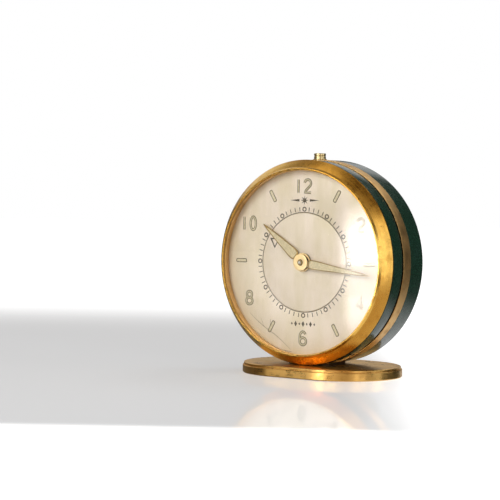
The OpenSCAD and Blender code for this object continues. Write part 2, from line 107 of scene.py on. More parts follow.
# Cracks of the crystal, as points across and up from the centre, with the line's radius
CRACKS = (
    (
        [
            (-16.6, -15.3), (-14.6, -16.9), (-12.2, -18.6), (-10.0, -20.0), (-7.4, -21.4),
            (-4.6, -23.4), (-2.2, -25.4),
        ],
        0.105,
    ),
    ([(-10.0, -20.0), (-9.2, -18.8), (-8.9, -16.8)], 0.09),
    ([(-11.6, -19.0), (-11.9, -18.0), (-12.6, -16.6)], 0.06),
    ([(-5.6, -25.6), (-3.9, -25.9), (-1.8, -26.0)], 0.08),
)

# Printed arrows of the back: what they go round, radius, half their sweep, and if both ends point
ARROWS = (
    ("going_key", 3.7, 50, False),
    ("alarm_key", 3.7, 50, False),
    ("time_knob", 3.1, 48, True),
    ("alarm_knob", 3.0, 48, True),
)

# Lamps: azimuth, elevation, distance, width, height, radiance, share that fades
LAMPS = {
    "window": (-15.5, -4, 0.9, 0.25, 0.50, 8.5, 0.25),
    "key": (-14, 27, 1.1, 0.60, 0.50, 7.5, 0.2),
    "front_fill": (12, 8, 1.1, 0.36, 0.40, 3.2, 0.2),
    "right_card": (64, 13, 0.9, 0.46, 1.10, 1.35, 0.2),
    "upper_card": (36, 54, 1.0, 0.50, 0.40, 0.4, 0.2),
    "side_strip": (102, 8, 0.9, 0.30, 0.60, 2.4, 0.2),
    "rear": (160, 52, 1.0, 0.60, 0.40, 2.5, 0.2),
    "overhead": (-50, 74, 1.0, 0.60, 0.50, 0.9, 0.2),
}

# Where the camera stands, how far it aims from the centre, and its lens in millimetres
VIEW_AZIMUTH, VIEW_ELEVATION, VIEW_ROLL = 33.34, 2.01, 0.69
VIEW_DISTANCE = 480 * MM
AIM_LEFT, AIM_UP = 15.82 * MM, 3.41 * MM
VIEW_LENS = 118.22


# ---------------------------------------------------------------- sizes and colours


def length_property(name, description, default):
    """Length that a user may change, with its default in millimetres."""
    return FloatProperty(name=name, description=description, default=default * MM, unit="LENGTH")


class ClockSizes(bpy.types.PropertyGroup):
    """Sizes of the visible pieces."""

    opening: length_property("Opening", "Radius of the opening in the bezel", 27)
    dome: length_property("Dome", "How far the crystal bulges", 1.9)
    numeral: length_property("Numeral height", "Height of the hour numerals", 4.6)
    numeral_ring: length_property("Numeral ring", "Radius of the ring of numerals", 22.2)
    alarm_disc: length_property("Alarm disc", "Radius of the turning alarm disc", 14.4)
    hour_hand: length_property("Hour hand", "Reach of the hour hand", 17.7)
    minute_hand: length_property("Minute hand", "Reach of the minute hand", 23.6)


def colour_property(name, description, default):
    """Linear colour that a user may change."""
    return FloatVectorProperty(
        name=name, description=description, default=default, subtype="COLOR", size=3, min=0, max=1
    )


class ClockColours(bpy.types.PropertyGroup):
    """Linear colours of the finishes."""

    gilt: colour_property("Gilt", "Bezel, button and keys", (0.95, 0.60, 0.14))
    brass: colour_property("Brass", "Base plate", (0.84, 0.51, 0.15))
    band: colour_property("Band brass", "Band between the green rings", (0.76, 0.49, 0.20))
    tarnish: colour_property("Tarnish", "Dark brown on worn brass", (0.28, 0.12, 0.03))
    lacquer: colour_property("Lacquer", "Green lacquer of the case", (0.009, 0.044, 0.024))
    dial: colour_property("Dial", "Silvered cream dial", (0.80, 0.71, 0.54))
    ink: colour_property("Ink", "Printed rings and ticks", (0.055, 0.045, 0.030))
    print_gilt: colour_property("Gilt print", "Outlines of the hour marks", (0.11, 0.09, 0.05))
    lume: colour_property("Luminous paint", "Fill of the hands", (0.80, 0.70, 0.47))
    steel: colour_property("Steel", "Screws, arbors and springs", (0.66, 0.65, 0.63))
    floor: colour_property("Floor", "Pale studio floor", (0.88, 0.90, 0.93))


def sizes():
    """The sizes held by the scene."""
    return bpy.context.scene.clock_sizes


def colours():
    """The colours held by the scene."""
    return bpy.context.scene.clock_colours


# ---------------------------------------------------------------- outlines and meshes


def polar(radius, clock):
    """Point at a radius and a clock angle in degrees, as (across, up)."""
    angle = math.radians(clock)
    return Vector((radius * math.sin(angle), radius * math.cos(angle)))


def on_dial(across, up, depth):
    """Point in space, from its place on the dial and its depth behind the bezel's edge."""
    return Vector((across, FACE_Y + depth, AXIS_Z + up))


def in_mm(points):
    """Points given in millimetres, as metres."""
    return [tuple(value * MM for value in point) for point in points]


def node_middle(name):
    """Middle of a CAD node as seen on the dial, as (across, up)."""
    low, high = node_box(name)
    return Vector(((low.x + high.x) / 2, (low.z + high.z) / 2 - AXIS_Z))


def filleted(points, radius, steps=4):
    """Closed outline with each corner rounded. radius is one size, or one for each corner."""
    count = len(points)
    radii = radius if isinstance(radius, (list, tuple)) else [radius] * count
    outline = []
    for i, corner in enumerate(points):
        here = Vector(corner)
        before = Vector(points[i - 1]) - here
        after = Vector(points[(i + 1) % count]) - here
        angle = before.angle(after)
        reach = radii[i] / math.tan(angle / 2) if angle < math.radians(175) else 0
        reach = min(reach, before.length * 0.45, after.length * 0.45)
        if reach < 1e-6:
            outline.append(here)
            continue
        start = here + before.normalized() * reach
        end = here + after.normalized() * reach
        for k in range(steps + 1):
            t = k / steps
            outline.append(start * (1 - t) ** 2 + here * 2 * t * (1 - t) + end * t * t)
    return outline


def smooth_mesh(mesh, sharp=35):
    """Smooth shading with sharp edges kept."""
    mesh.shade_smooth()
    mesh.set_sharp_from_angle(angle=math.radians(sharp))
    return mesh


def mesh_from(bm, name):
    """Mesh with the faces of a bmesh, which is used up."""
    mesh = bpy.data.meshes.new(name)
    bm.to_mesh(mesh)
    bm.free()
    return mesh


def lathe(profile, place, segments=SEGMENTS, sharp=35):
    """Closed mesh turned from (radius, height) points.

    place(radius, angle, height) gives a point in space.
    """
    bm = bmesh.new()
    rings = []
    for radius, height in profile:
        if radius < 1e-7:
            rings.append([bm.verts.new(place(0, 0, height))] * segments)
        else:
            turn = [2 * math.pi * k / segments for k in range(segments)]
            rings.append([bm.verts.new(place(radius, a, height)) for a in turn])
    for a, b in zip(rings, rings[1:] + rings[:1]):
        for k in range(segments):
            n = (k + 1) % segments
            corners = list(dict.fromkeys([a[k], a[n], b[n], b[k]]))
            if len(corners) > 2:
                bm.faces.new(corners)
    bmesh.ops.recalc_face_normals(bm, faces=bm.faces)
    return smooth_mesh(mesh_from(bm, "turned"), sharp)


def about(across, up):
    """Placer for pieces turned about an axis that runs front to back at a point of the dial."""
    return lambda r, a, depth: on_dial(across + r * math.sin(a), up + r * math.cos(a), depth)


def upright(x, y):
    """Placer for pieces turned about an upright axis."""
    return lambda r, a, z: Vector((x + r * math.cos(a), y + r * math.sin(a), z))


def turned(points, fillet, segments=SEGMENTS, steps=4, place=None):
    """Closed mesh turned from (radius, depth) points in millimetres, with rounded corners.

    It turns about the centre of the dial, or as place says. fillet is in millimetres too.
    """
    radii = [size * MM for size in fillet] if isinstance(fillet, list) else fillet * MM
    return lathe(filleted(in_mm(points), radii, steps), place or about(0, 0), segments)


def washer(inner, outer, front, back):
    """Outline of a flat ring, for turning."""
    return [(inner, front), (outer, front), (outer, back), (inner, back)]


def joined(meshes):
    """One mesh from several, which are used up."""
    bm = bmesh.new()
    for mesh in meshes:
        bm.from_mesh(mesh)
        bpy.data.meshes.remove(mesh)
    return mesh_from(bm, "joined")


def curve_mesh(curve, matrix):
    """Mesh of a curve, moved by a matrix. The curve is used up."""
    holder = bpy.data.objects.new("holder", curve)
    bpy.context.scene.collection.objects.link(holder)
    graph = bpy.context.evaluated_depsgraph_get()
    mesh = bpy.data.meshes.new_from_object(holder.evaluated_get(graph))
    bpy.data.objects.remove(holder)
    bpy.data.curves.remove(curve)
    mesh.transform(matrix)
    return mesh


def dial_matrix(across, up, depth, clock=0):
    """Turns flat work drawn with X across and Y up into its place on the dial."""
    return (
        Matrix.Translation(on_dial(across, up, depth))
        @ Matrix.Rotation(math.radians(90), 4, "X")
        @ Matrix.Rotation(math.radians(-clock), 4, "Z")
    )


def plate(loops, thickness, matrix, edge=0.0):
    """Flat piece with holes, cut from closed outlines and centred on its plane.

    edge is how far its edges are softened.
    """
    curve = bpy.data.curves.new("plate", "CURVE")
    curve.dimensions = "2D"
    curve.fill_mode = "BOTH"
    curve.extrude = max(thickness / 2 - edge, 0)
    curve.bevel_depth = edge
    curve.bevel_resolution = 2
    curve.offset = -edge
    for loop in loops:
        spline = curve.splines.new("POLY")
        spline.points.add(len(loop) - 1)
        for point, co in zip(spline.points, loop):
            point.co = (co[0], co[1], 0, 1)
        spline.use_cyclic_u = True
    mesh = curve_mesh(curve, matrix)
    bm = bmesh.new()
    bm.from_mesh(mesh)
    bmesh.ops.remove_doubles(bm, verts=bm.verts, dist=1e-7)
    bmesh.ops.recalc_face_normals(bm, faces=bm.faces)
    bm.to_mesh(mesh)
    bm.free()
    return smooth_mesh(mesh)


def printed(loops, matrix):
    """Thin printed mark."""
    return plate(loops, PRINT_THICKNESS, matrix)


def bead(path, radius, matrix, flatten=1.0, closed=False, taper=None, sides=3):
    """Round or flattened line of paint along points drawn with X across and Y up."""
    curve = bpy.data.curves.new("bead", "CURVE")
    curve.dimensions = "3D"
    curve.bevel_depth = radius
    curve.bevel_resolution = sides
    curve.use_fill_caps = True
    spline = curve.splines.new("POLY")
    spline.points.add(len(path) - 1)
    for i, (point, co) in enumerate(zip(spline.points, path)):
        point.co = (co[0], co[1], co[2] if len(co) > 2 else 0, 1)
        point.radius = taper[i] if taper else 1.0
    spline.use_cyclic_u = closed
    mesh = curve_mesh(curve, matrix @ Matrix.Diagonal((1, 1, flatten, 1)))
    return smooth_mesh(mesh, 60)


def circle(radius, count):
    """Closed round outline about the origin."""
    return arc(0, 0, radius, radius, 0, 360, count)[:-1]


def arc(across, up, rx, ry, start, end, steps=14):
    """Points along an arc, with angles in degrees from the right, counter-clockwise."""
    angles = [math.radians(start + (end - start) * k / steps) for k in range(steps + 1)]
    return [(across + rx * math.cos(a), up + ry * math.sin(a)) for a in angles]


def eased(stations, steps=8):
    """Smooth curve through stations, as Catmull-Rom points."""
    points = [Vector(s) for s in stations]
    padded = [points[0] * 2 - points[1]] + points + [points[-1] * 2 - points[-2]]
    curve = []
    for a, b, c, d in zip(padded, padded[1:], padded[2:], padded[3:]):
        for k in range(steps):
            t = k / steps
            bend = (a * 2 - b * 5 + c * 4 - d) * t**2
            twist = (b * 3 - a - c * 3 + d) * t**3
            curve.append((b * 2 + (c - a) * t + bend + twist) / 2)
    curve.append(points[-1])
    return curve


def add_piece(name, mesh, material, body, slot, *nodes):
    """Puts a mesh in the scene as a piece that rides on a body and may replace CAD nodes."""
    mesh.name = name
    mesh.materials.clear()
    mesh.materials.append(material)
    piece = bpy.data.objects.new(name, mesh)
    bpy.context.scene.collection.objects.link(piece)
    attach(piece, body)
    if nodes:
        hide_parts(*nodes)
    return piece


# ---------------------------------------------------------------- shader groups


class Graph:
    """Short way to write a node tree: each call adds a node and links what it is given."""

    def __init__(self, tree):
        self.tree = tree

    def add(self, kind, settings=None, **inputs):
        item = self.tree.nodes.new(kind)
        for key, value in (settings or {}).items():
            setattr(item, key, value)
        for key, value in inputs.items():
            self.feed(item, key, value)
        return item

    def feed(self, item, key, value):
        """Links or sets an input, by its name or as i0, i1 and so on by its place."""
        name = key.replace("_", " ")
        by_place = name[0] == "i" and name[1:].isdigit()
        socket = item.inputs[int(name[1:]) if by_place else name]
        if isinstance(value, bpy.types.NodeSocket):
            self.tree.links.new(value, socket)
        else:
            socket.default_value = value

    def maths(self, operation, a, b=0.0):
        return self.add("ShaderNodeMath", {"operation": operation}, i0=a, i1=b).outputs[0]

    def product(self, first, *others):
        """Numbers multiplied together."""
        for other in others:
            first = self.maths("MULTIPLY", first, other)
        return first

    def vector(self, operation, a, b):
        item = self.add("ShaderNodeVectorMath", {"operation": operation}, i0=a, i1=b)
        return item.outputs["Value" if operation == "DOT_PRODUCT" else "Vector"]

    def parts(self, vector):
        """The across, deep and up parts of a vector."""
        return self.add("ShaderNodeSeparateXYZ", None, Vector=vector).outputs[:3]

    def whole(self, across, deep, up):
        """A vector from its parts."""
        return self.add("ShaderNodeCombineXYZ", None, X=across, Y=deep, Z=up).outputs[0]

    def mix(self, factor, a, b):
        """Mix of two colours."""
        item = self.tree.nodes.new("ShaderNodeMix")
        item.data_type = "RGBA"
        sockets = (item.inputs[0], item.inputs[6], item.inputs[7])
        for socket, value in zip(sockets, (factor, a, b)):
            if isinstance(value, bpy.types.NodeSocket):
                self.tree.links.new(value, socket)
            elif isinstance(value, (int, float)):
                socket.default_value = value
            else:
                socket.default_value = (*value[:3], 1)
        return item.outputs[2]

    def spread(self, value, low, high, to_low=0.0, to_high=1.0):
        """Value mapped smoothly from one range to another."""
        item = self.add(
            "ShaderNodeMapRange",
            {"interpolation_type": "SMOOTHSTEP"},
            Value=value,
            From_Min=low,
            From_Max=high,
            To_Min=to_low,
            To_Max=to_high,
        )
        return item.outputs[0]

    def noise(self, vector, scale, detail=2.0, roughness=0.5):
        inputs = dict(Vector=vector, Scale=scale, Detail=detail, Roughness=roughness)
        return self.add("ShaderNodeTexNoise", None, **inputs).outputs[0]


def group(name, inputs, outputs, build):
    """Shader group with named number inputs and outputs, built once."""
    tree = bpy.data.node_groups.get(name)
    if tree:
        return tree
    tree = bpy.data.node_groups.new(name, "ShaderNodeTree")
    number = "NodeSocketFloat"
    for key, default in inputs.items():
        socket = tree.interface.new_socket(key, in_out="INPUT", socket_type=number)
        socket.default_value = default
    for key in outputs:
        tree.interface.new_socket(key, in_out="OUTPUT", socket_type=number)
    graph = Graph(tree)
    entry = tree.nodes.new("NodeGroupInput")
    leave = tree.nodes.new("NodeGroupOutput")
    for key, socket in build(graph, entry.outputs).items():
        tree.links.new(socket, leave.inputs[key])
    return tree


def object_place(graph):
    """Object coordinates in millimetres."""
    place = graph.add("ShaderNodeTexCoord").outputs["Object"]
    scaled = graph.add("ShaderNodeVectorMath", {"operation": "SCALE"}, i0=place, Scale=1000.0)
    return scaled.outputs[0]


def turned_grain():
    """Fine lines left by a lathe, round the case's axis."""

    def build(graph, given):
        across, deep, high = graph.parts(object_place(graph))
        up = graph.maths("SUBTRACT", high, AXIS_Z / MM)
        squares = graph.maths("ADD", graph.product(across, across), graph.product(up, up))
        radius = graph.maths("SQRT", squares)
        angle = graph.maths("ARCTAN2", across, up)
        line = graph.vector("MULTIPLY", graph.whole(radius, deep, angle), (1.0, 1.0, 0.25))
        return {"Grain": graph.noise(line, given["Scale"], 3.0, 0.6)}

    return group("Turned grain", {"Scale": 14.0}, ["Grain"], build)


def brushed_grain():
    """Brushed lines, long along the axis with the smallest input and even when all are equal."""

    def build(graph, given):
        stretch = graph.whole(given["Across"], given["Deep"], given["Up"])
        line = graph.vector("MULTIPLY", object_place(graph), stretch)
        return {"Grain": graph.noise(line, 1.0, 4.0, 0.62)}

    return group("Brushed grain", {"Across": 1.0, "Deep": 1.0, "Up": 1.0}, ["Grain"], build)


def patina():
    """Soft blotches of tarnish, and small pits."""

    def build(graph, given):
        place = object_place(graph)
        clouds = graph.noise(place, given["Blotch scale"], 5.0, 0.6)
        blotch = graph.spread(clouds, given["Edge"], graph.maths("ADD", given["Edge"], 0.22))
        cells = graph.add("ShaderNodeTexVoronoi", None, Vector=place, Scale=given["Pit scale"])
        rare = graph.spread(graph.noise(place, 0.35, 2.0), 0.52, 0.66)
        pits = graph.product(graph.spread(cells.outputs[0], 0.20, 0.07), rare)
        return {"Blotch": blotch, "Pits": pits}

    inputs = {"Blotch scale": 0.25, "Edge": 0.52, "Pit scale": 1.3}
    return group("Patina", inputs, ["Blotch", "Pits"], build)


def wear():
    """Hairline scratches in two directions, and a fine unevenness of polish."""

    def build(graph, given):
        place = object_place(graph)
        lines = []
        for turn, stretch in ((0.5, (0.12, 2.0, 3.2)), (-0.9, (0.10, 1.6, 2.6))):
            rotated = graph.add(
                "ShaderNodeVectorRotate",
                {"rotation_type": "AXIS_ANGLE"},
                Vector=place,
                Axis=(0.3, 1.0, 0.2),
                Angle=turn,
            )
            long_way = graph.vector("MULTIPLY", rotated.outputs[0], stretch)
            lines.append(graph.spread(graph.noise(long_way, given["Scale"], 2.0), 0.66, 0.71))
        scratch = graph.maths("MAXIMUM", lines[0], lines[1])
        smear = graph.spread(graph.noise(place, 0.5, 4.0, 0.65), 0.35, 0.7)
        return {"Scratches": scratch, "Smear": smear}

    return group("Wear", {"Scale": 1.0}, ["Scratches", "Smear"], build)


def dust():
    """Fine dust that lies on upward faces."""

    def build(graph, given):
        up = graph.parts(graph.add("ShaderNodeNewGeometry").outputs["Normal"])[2]
        lying = graph.spread(up, 0.55, 0.98)
        grains = graph.spread(graph.noise(object_place(graph), 9.0, 3.0, 0.7), 0.50, 0.72)
        return {"Dust": graph.product(lying, grains, given["Amount"])}

    return group("Dust", {"Amount": 0.3}, ["Dust"], build)


# ---------------------------------------------------------------- finishes

METAL_DUST = (0.55, 0.52, 0.46)
LACQUER_DUST = (0.45, 0.45, 0.42)
DUST_AMOUNT = 0.06
PIT_BROWN = (0.06, 0.03, 0.012)
# Orange painted on the bezel's upper right as a warm reflection
PAINTED_REFLECTION_ORANGE = (0.72, 0.33, 0.035)


class Finish:
    """A material being built: its graph, its surface shader and its shared effects."""

    def __init__(self, name, **constants):
        self.material = bpy.data.materials.new(name)
        self.material.use_nodes = True
        self.tree = self.material.node_tree
        self.graph = Graph(self.tree)
        self.shader = next(n for n in self.tree.nodes if n.type == "BSDF_PRINCIPLED")
        self.output = next(n for n in self.tree.nodes if n.type == "OUTPUT_MATERIAL")
        for key, value in constants.items():
            self.shader.inputs[key.replace("_", " ")].default_value = value

    def effect(self, tree, **inputs):
        """Places a shared group and returns its outputs."""
        item = self.tree.nodes.new("ShaderNodeGroup")
        item.node_tree = tree
        for key, value in inputs.items():
            item.inputs[key.replace("_", " ")].default_value = value
        return item.outputs

    def feed(self, **sockets):
        for key, value in sockets.items():
            self.graph.feed(self.shader, key, value)

    def bump(self, height, relief):
        """Feeds the normal from a height, with its relief in millimetres."""
        inputs = dict(Height=height, Distance=relief * MM, Strength=1.0)
        normal = self.graph.add("ShaderNodeBump", None, **inputs).outputs[0]
        self.tree.links.new(normal, self.shader.inputs["Normal"])


MATERIALS = {}


def finish(name, build):
    """The named material, built the first time it is asked for."""
    if name not in MATERIALS:
        MATERIALS[name] = build(name)
    return MATERIALS[name]


def turned_lines(scale):
    """Grain of a lathe, with the number of lines per millimetre."""
    return turned_grain(), dict(Scale=scale)


def brushed_lines(across, deep, up):
    """Grain of a brush, with the number of lines per millimetre along each axis."""
    return brushed_grain(), dict(Across=across, Deep=deep, Up=up)


def even_grain(scale):
    """Grain without a direction."""
    return brushed_lines(scale, scale, scale)


def painted_reflection_mask(graph, clock):
    """How strong the painted warm reflection is: it grows along a clock angle, towards the edge of
    the case.
    """
    way = polar(1.0, clock)
    along = graph.vector("DOT_PRODUCT", object_place(graph), (way.x, 0.0, way.y))
    from_centre = graph.maths("SUBTRACT", along, way.y * AXIS_Z / MM)
    return graph.spread(from_centre, 19.0, 28.5, 0.0, 0.8)


def metal(name, colour, dark, rough, grain, pits, blotch, relief, reflection_clock=None):
    """Worn metal with a grain, blotches of tarnish, pits and hairline scratches.

    grain is a shader group and its inputs, and relief is its height in millimetres.
    The last argument is the clock angle round the case where an orange painted warm reflection is
    laid on the colour.
    """
    made = Finish(name, Metallic=1.0, IOR=1.45)
    graph = made.graph
    tree, inputs = grain
    lines = made.effect(tree, **inputs)["Grain"]
    age = made.effect(patina())
    marks = made.effect(wear())
    tone = graph.mix(graph.product(age["Blotch"], blotch), colour, dark)
    # Painted warm reflection: orange that grows towards the case's edge along one clock angle
    if reflection_clock is not None:
        tone = graph.mix(painted_reflection_mask(graph, reflection_clock), tone, PAINTED_REFLECTION_ORANGE)
    tone = graph.mix(graph.product(age["Pits"], pits * 0.85), tone, PIT_BROWN)
    tone = graph.mix(graph.spread(lines, 0.35, 0.65, 0.10, 0.0), tone, dark)
    tone = graph.mix(made.effect(dust(), Amount=DUST_AMOUNT)["Dust"], tone, METAL_DUST)
    polish = graph.spread(lines, 0.3, 0.7, rough * 0.8, rough * 1.25)
    polish = graph.maths("ADD", polish, graph.product(marks["Smear"], rough * 0.45))
    polish = graph.maths("ADD", polish, graph.product(age["Pits"], 0.3))
    made.feed(Base_Color=tone, Roughness=polish)
    height = graph.maths("ADD", lines, graph.product(age["Pits"], -4.0 * pits))
    made.bump(graph.maths("SUBTRACT", height, marks["Scratches"]), relief)
    return made.material


def aged_brass(name):
    return metal(
        name, colours().brass, colours().tarnish, rough=0.29,
        grain=brushed_lines(0.25, 0.25, 9.0), pits=0.5, blotch=0.20, relief=0.002,
    )


def bright_gilt(name):
    # Orange painted reflection on the upper right of the bezel, at clock angle 30
    return metal(
        name, colours().gilt, (0.60, 0.26, 0.03), rough=0.24,
        grain=turned_lines(10.0), pits=1.2, blotch=0.7, relief=0.0025, reflection_clock=30,
    )


def band_brass(name):
    return metal(
        name, colours().band, colours().tarnish, rough=0.38,
        grain=turned_lines(16.0), pits=0.5, blotch=0.45, relief=0.004,
    )


def saddle_brass(name):
    """Brass painted nearly black: painted shade where the drum shades it."""
    return metal(
        name, (0.10, 0.06, 0.03), (0.03, 0.02, 0.01), rough=0.5,
        grain=even_grain(0.8), pits=0.3, blotch=0.5, relief=0.003,
    )


def cover_gilt(name):
    return metal(
        name, colours().gilt, (0.62, 0.36, 0.08), rough=0.33,
        grain=turned_lines(5.0), pits=0.5, blotch=0.22, relief=0.005,
    )


def key_gilt(name):
    return metal(
        name, colours().gilt, (0.55, 0.28, 0.05), rough=0.24,
        grain=even_grain(0.7), pits=0.3, blotch=0.3, relief=0.0008,
    )


def pale_brass(name):
    return metal(
        name, (0.80, 0.66, 0.36), (0.35, 0.26, 0.12), rough=0.30,
        grain=brushed_lines(1.0, 1.0, 8.0), pits=0.2, blotch=0.2, relief=0.0015,
    )


def edge_gilt(name):
    return metal(
        name, (0.38, 0.26, 0.10), (0.12, 0.08, 0.03), rough=0.32,
        grain=even_grain(5.0), pits=0.3, blotch=0.4, relief=0.002,
    )


def hand_gilt(name):
    return metal(
        name, (0.95, 0.74, 0.42), (0.60, 0.40, 0.16), rough=0.38,
        grain=even_grain(5.0), pits=0.3, blotch=0.3, relief=0.002,
    )


def polished_steel(name):
    return metal(
        name, colours().steel, (0.25, 0.24, 0.23), rough=0.24,
        grain=even_grain(0.8), pits=0.3, blotch=0.3, relief=0.0008,
    )


def spring_steel(name):
    return metal(
        name, (0.20, 0.24, 0.33), (0.08, 0.08, 0.10), rough=0.28,
        grain=even_grain(4.0), pits=0.2, blotch=0.3, relief=0.001,
    )


def movement_brass(name):
    return metal(
        name, (0.82, 0.62, 0.28), (0.42, 0.27, 0.09), rough=0.28,
        grain=brushed_lines(6.0, 1.5, 1.5), pits=0.3, blotch=0.3, relief=0.004,
    )


def green_lacquer(name):
    made = Finish(name, Coat_Weight=0.5, Coat_Roughness=0.06, Coat_IOR=1.5, Specular_IOR_Level=0.2)
    graph = made.graph
    age = made.effect(patina(), Blotch_scale=0.10, Edge=0.46, Pit_scale=0.9)
    marks = made.effect(wear(), Scale=0.8)
    tone = graph.mix(graph.product(age["Blotch"], 0.3), colours().lacquer, (0.018, 0.062, 0.050))
    tone = graph.mix(graph.product(age["Pits"], 0.35), tone, (0.12, 0.16, 0.12))
    tone = graph.mix(graph.product(marks["Scratches"], 0.05), tone, (0.16, 0.22, 0.18))
    tone = graph.mix(made.effect(dust(), Amount=DUST_AMOUNT)["Dust"], tone, LACQUER_DUST)
    made.feed(Base_Color=tone, Roughness=graph.spread(marks["Smear"], 0.0, 1.0, 0.22, 0.34))
    made.bump(graph.product(age["Pits"], -1.0), 0.004)
    return made.material


def silvered_dial(name):
    made = Finish(name, Metallic=0.15, IOR=1.5)
    graph = made.graph
    lines = made.effect(brushed_grain(), Across=7.0, Deep=0.3, Up=0.05)["Grain"]
    clouds = made.effect(brushed_grain(), Across=0.14, Deep=0.14, Up=0.035)["Grain"]
    age = made.effect(patina(), Blotch_scale=0.12, Edge=0.50, Pit_scale=2.2)
    tone = graph.mix(graph.spread(clouds, 0.35, 0.68), colours().dial, (0.90, 0.80, 0.69))
    tone = graph.mix(graph.product(age["Blotch"], 0.35), tone, (0.72, 0.62, 0.42))
    tone = graph.mix(graph.spread(lines, 0.4, 0.62, 0.10, 0.0), tone, (0.60, 0.52, 0.38))
    tone = graph.mix(graph.product(age["Pits"], 0.35), tone, (0.30, 0.24, 0.15))
    made.feed(Base_Color=tone, Roughness=graph.spread(lines, 0.3, 0.7, 0.40, 0.52))
    made.bump(lines, 0.0015)
    return made.material


def matt(name, colour, aged, roughest, smoothest, scale, relief, **constants):
    """Surface without gloss, in two tones, with a grain."""
    made = Finish(name, **constants)
    graph = made.graph
    grain = made.effect(brushed_grain(), Across=scale, Deep=scale, Up=scale)["Grain"]
    tone = graph.mix(graph.spread(grain, 0.38, 0.62), colour, aged)
    made.feed(Base_Color=tone, Roughness=graph.spread(grain, 0.3, 0.7, smoothest, roughest))
    made.bump(grain, relief)
    return made.material


def paint(name, colour, aged, rough, scale, relief):
    """Matt printed or brushed-on paint with a grain."""
    return matt(name, colour, aged, min(rough * 1.15, 1.0), rough * 0.85, scale, relief, IOR=1.45)


def ink(name):
    return paint(name, colours().ink, (0.16, 0.13, 0.09), rough=0.6, scale=3.0, relief=0.003)


def gilt_print(name):
    aged = (0.20, 0.17, 0.09)
    return paint(name, colours().print_gilt, aged, rough=0.45, scale=2.4, relief=0.004)


def lume(name):
    return paint(name, colours().lume, (0.64, 0.56, 0.35), rough=0.8, scale=2.2, relief=0.008)


def numeral_lume(name):
    pale, aged = (0.80, 0.73, 0.53), (0.66, 0.59, 0.40)
    return paint(name, pale, aged, rough=0.8, scale=2.2, relief=0.008)


def holder_plastic(name):
    return paint(name, (0.05,) * 3, (0.08,) * 3, rough=0.55, scale=2.0, relief=0.006)


def crack_line(name):
    pale, aged = (0.50, 0.43, 0.28), (0.30, 0.25, 0.15)
    return paint(name, pale, aged, rough=0.35, scale=2.5, relief=0.004)


def seam_painted_shade(name):
    """Near-black painted shade for grooves and recesses, without gloss."""
    black, brown = (0.006, 0.005, 0.004), (0.022, 0.016, 0.010)
    return matt(name, black, brown, 1.0, 0.85, 2.0, 0.006, Specular_IOR_Level=0.02)


def crystal_acrylic(name):
    """Clear acrylic. Rays from lamps pass straight through it, so that they reach the dial."""
    made = Finish(name, IOR=1.49, Transmission_Weight=1.0)
    graph = made.graph
    marks = made.effect(wear(), Scale=0.6)
    tint = graph.mix(marks["Smear"], (1.0, 0.995, 0.97), (0.99, 0.98, 0.94))
    made.feed(Base_Color=tint, Roughness=graph.product(marks["Scratches"], 0.10))
    clear = graph.add("ShaderNodeBsdfTransparent").outputs[0]
    rays = graph.add("ShaderNodeLightPath").outputs
    lamp = graph.maths("MAXIMUM", rays["Is Shadow Ray"], rays["Is Diffuse Ray"])
    mixed = graph.add("ShaderNodeMixShader", None, i0=lamp, i1=made.shader.outputs[0], i2=clear)
    made.tree.links.new(mixed.outputs[0], made.output.inputs["Surface"])
    return made.material


SLOT_FINISHES = {
    "aged_brass": aged_brass,
    "bright_gilt": key_gilt,
    "band_brass": band_brass,
    "green_lacquer": green_lacquer,
    "crystal_acrylic": crystal_acrylic,
    "dial_silver": silvered_dial,
    "gilt_print": gilt_print,
    "hand_gilt": hand_gilt,
    "movement_brass": movement_brass,
    "steel": polished_steel,
    "spring_steel": spring_steel,
    "holder": holder_plastic,
}

# Nodes from the frame whose finish differs from that of their slot, with the material's name
NODE_FINISHES = {
    "cannon_pinion": ("cannon_end", edge_gilt),
    # The saddle's near-black colour is painted shade under the drum
    "base_saddle": ("saddle_brass", saddle_brass),
}


# ---------------------------------------------------------------- pieces


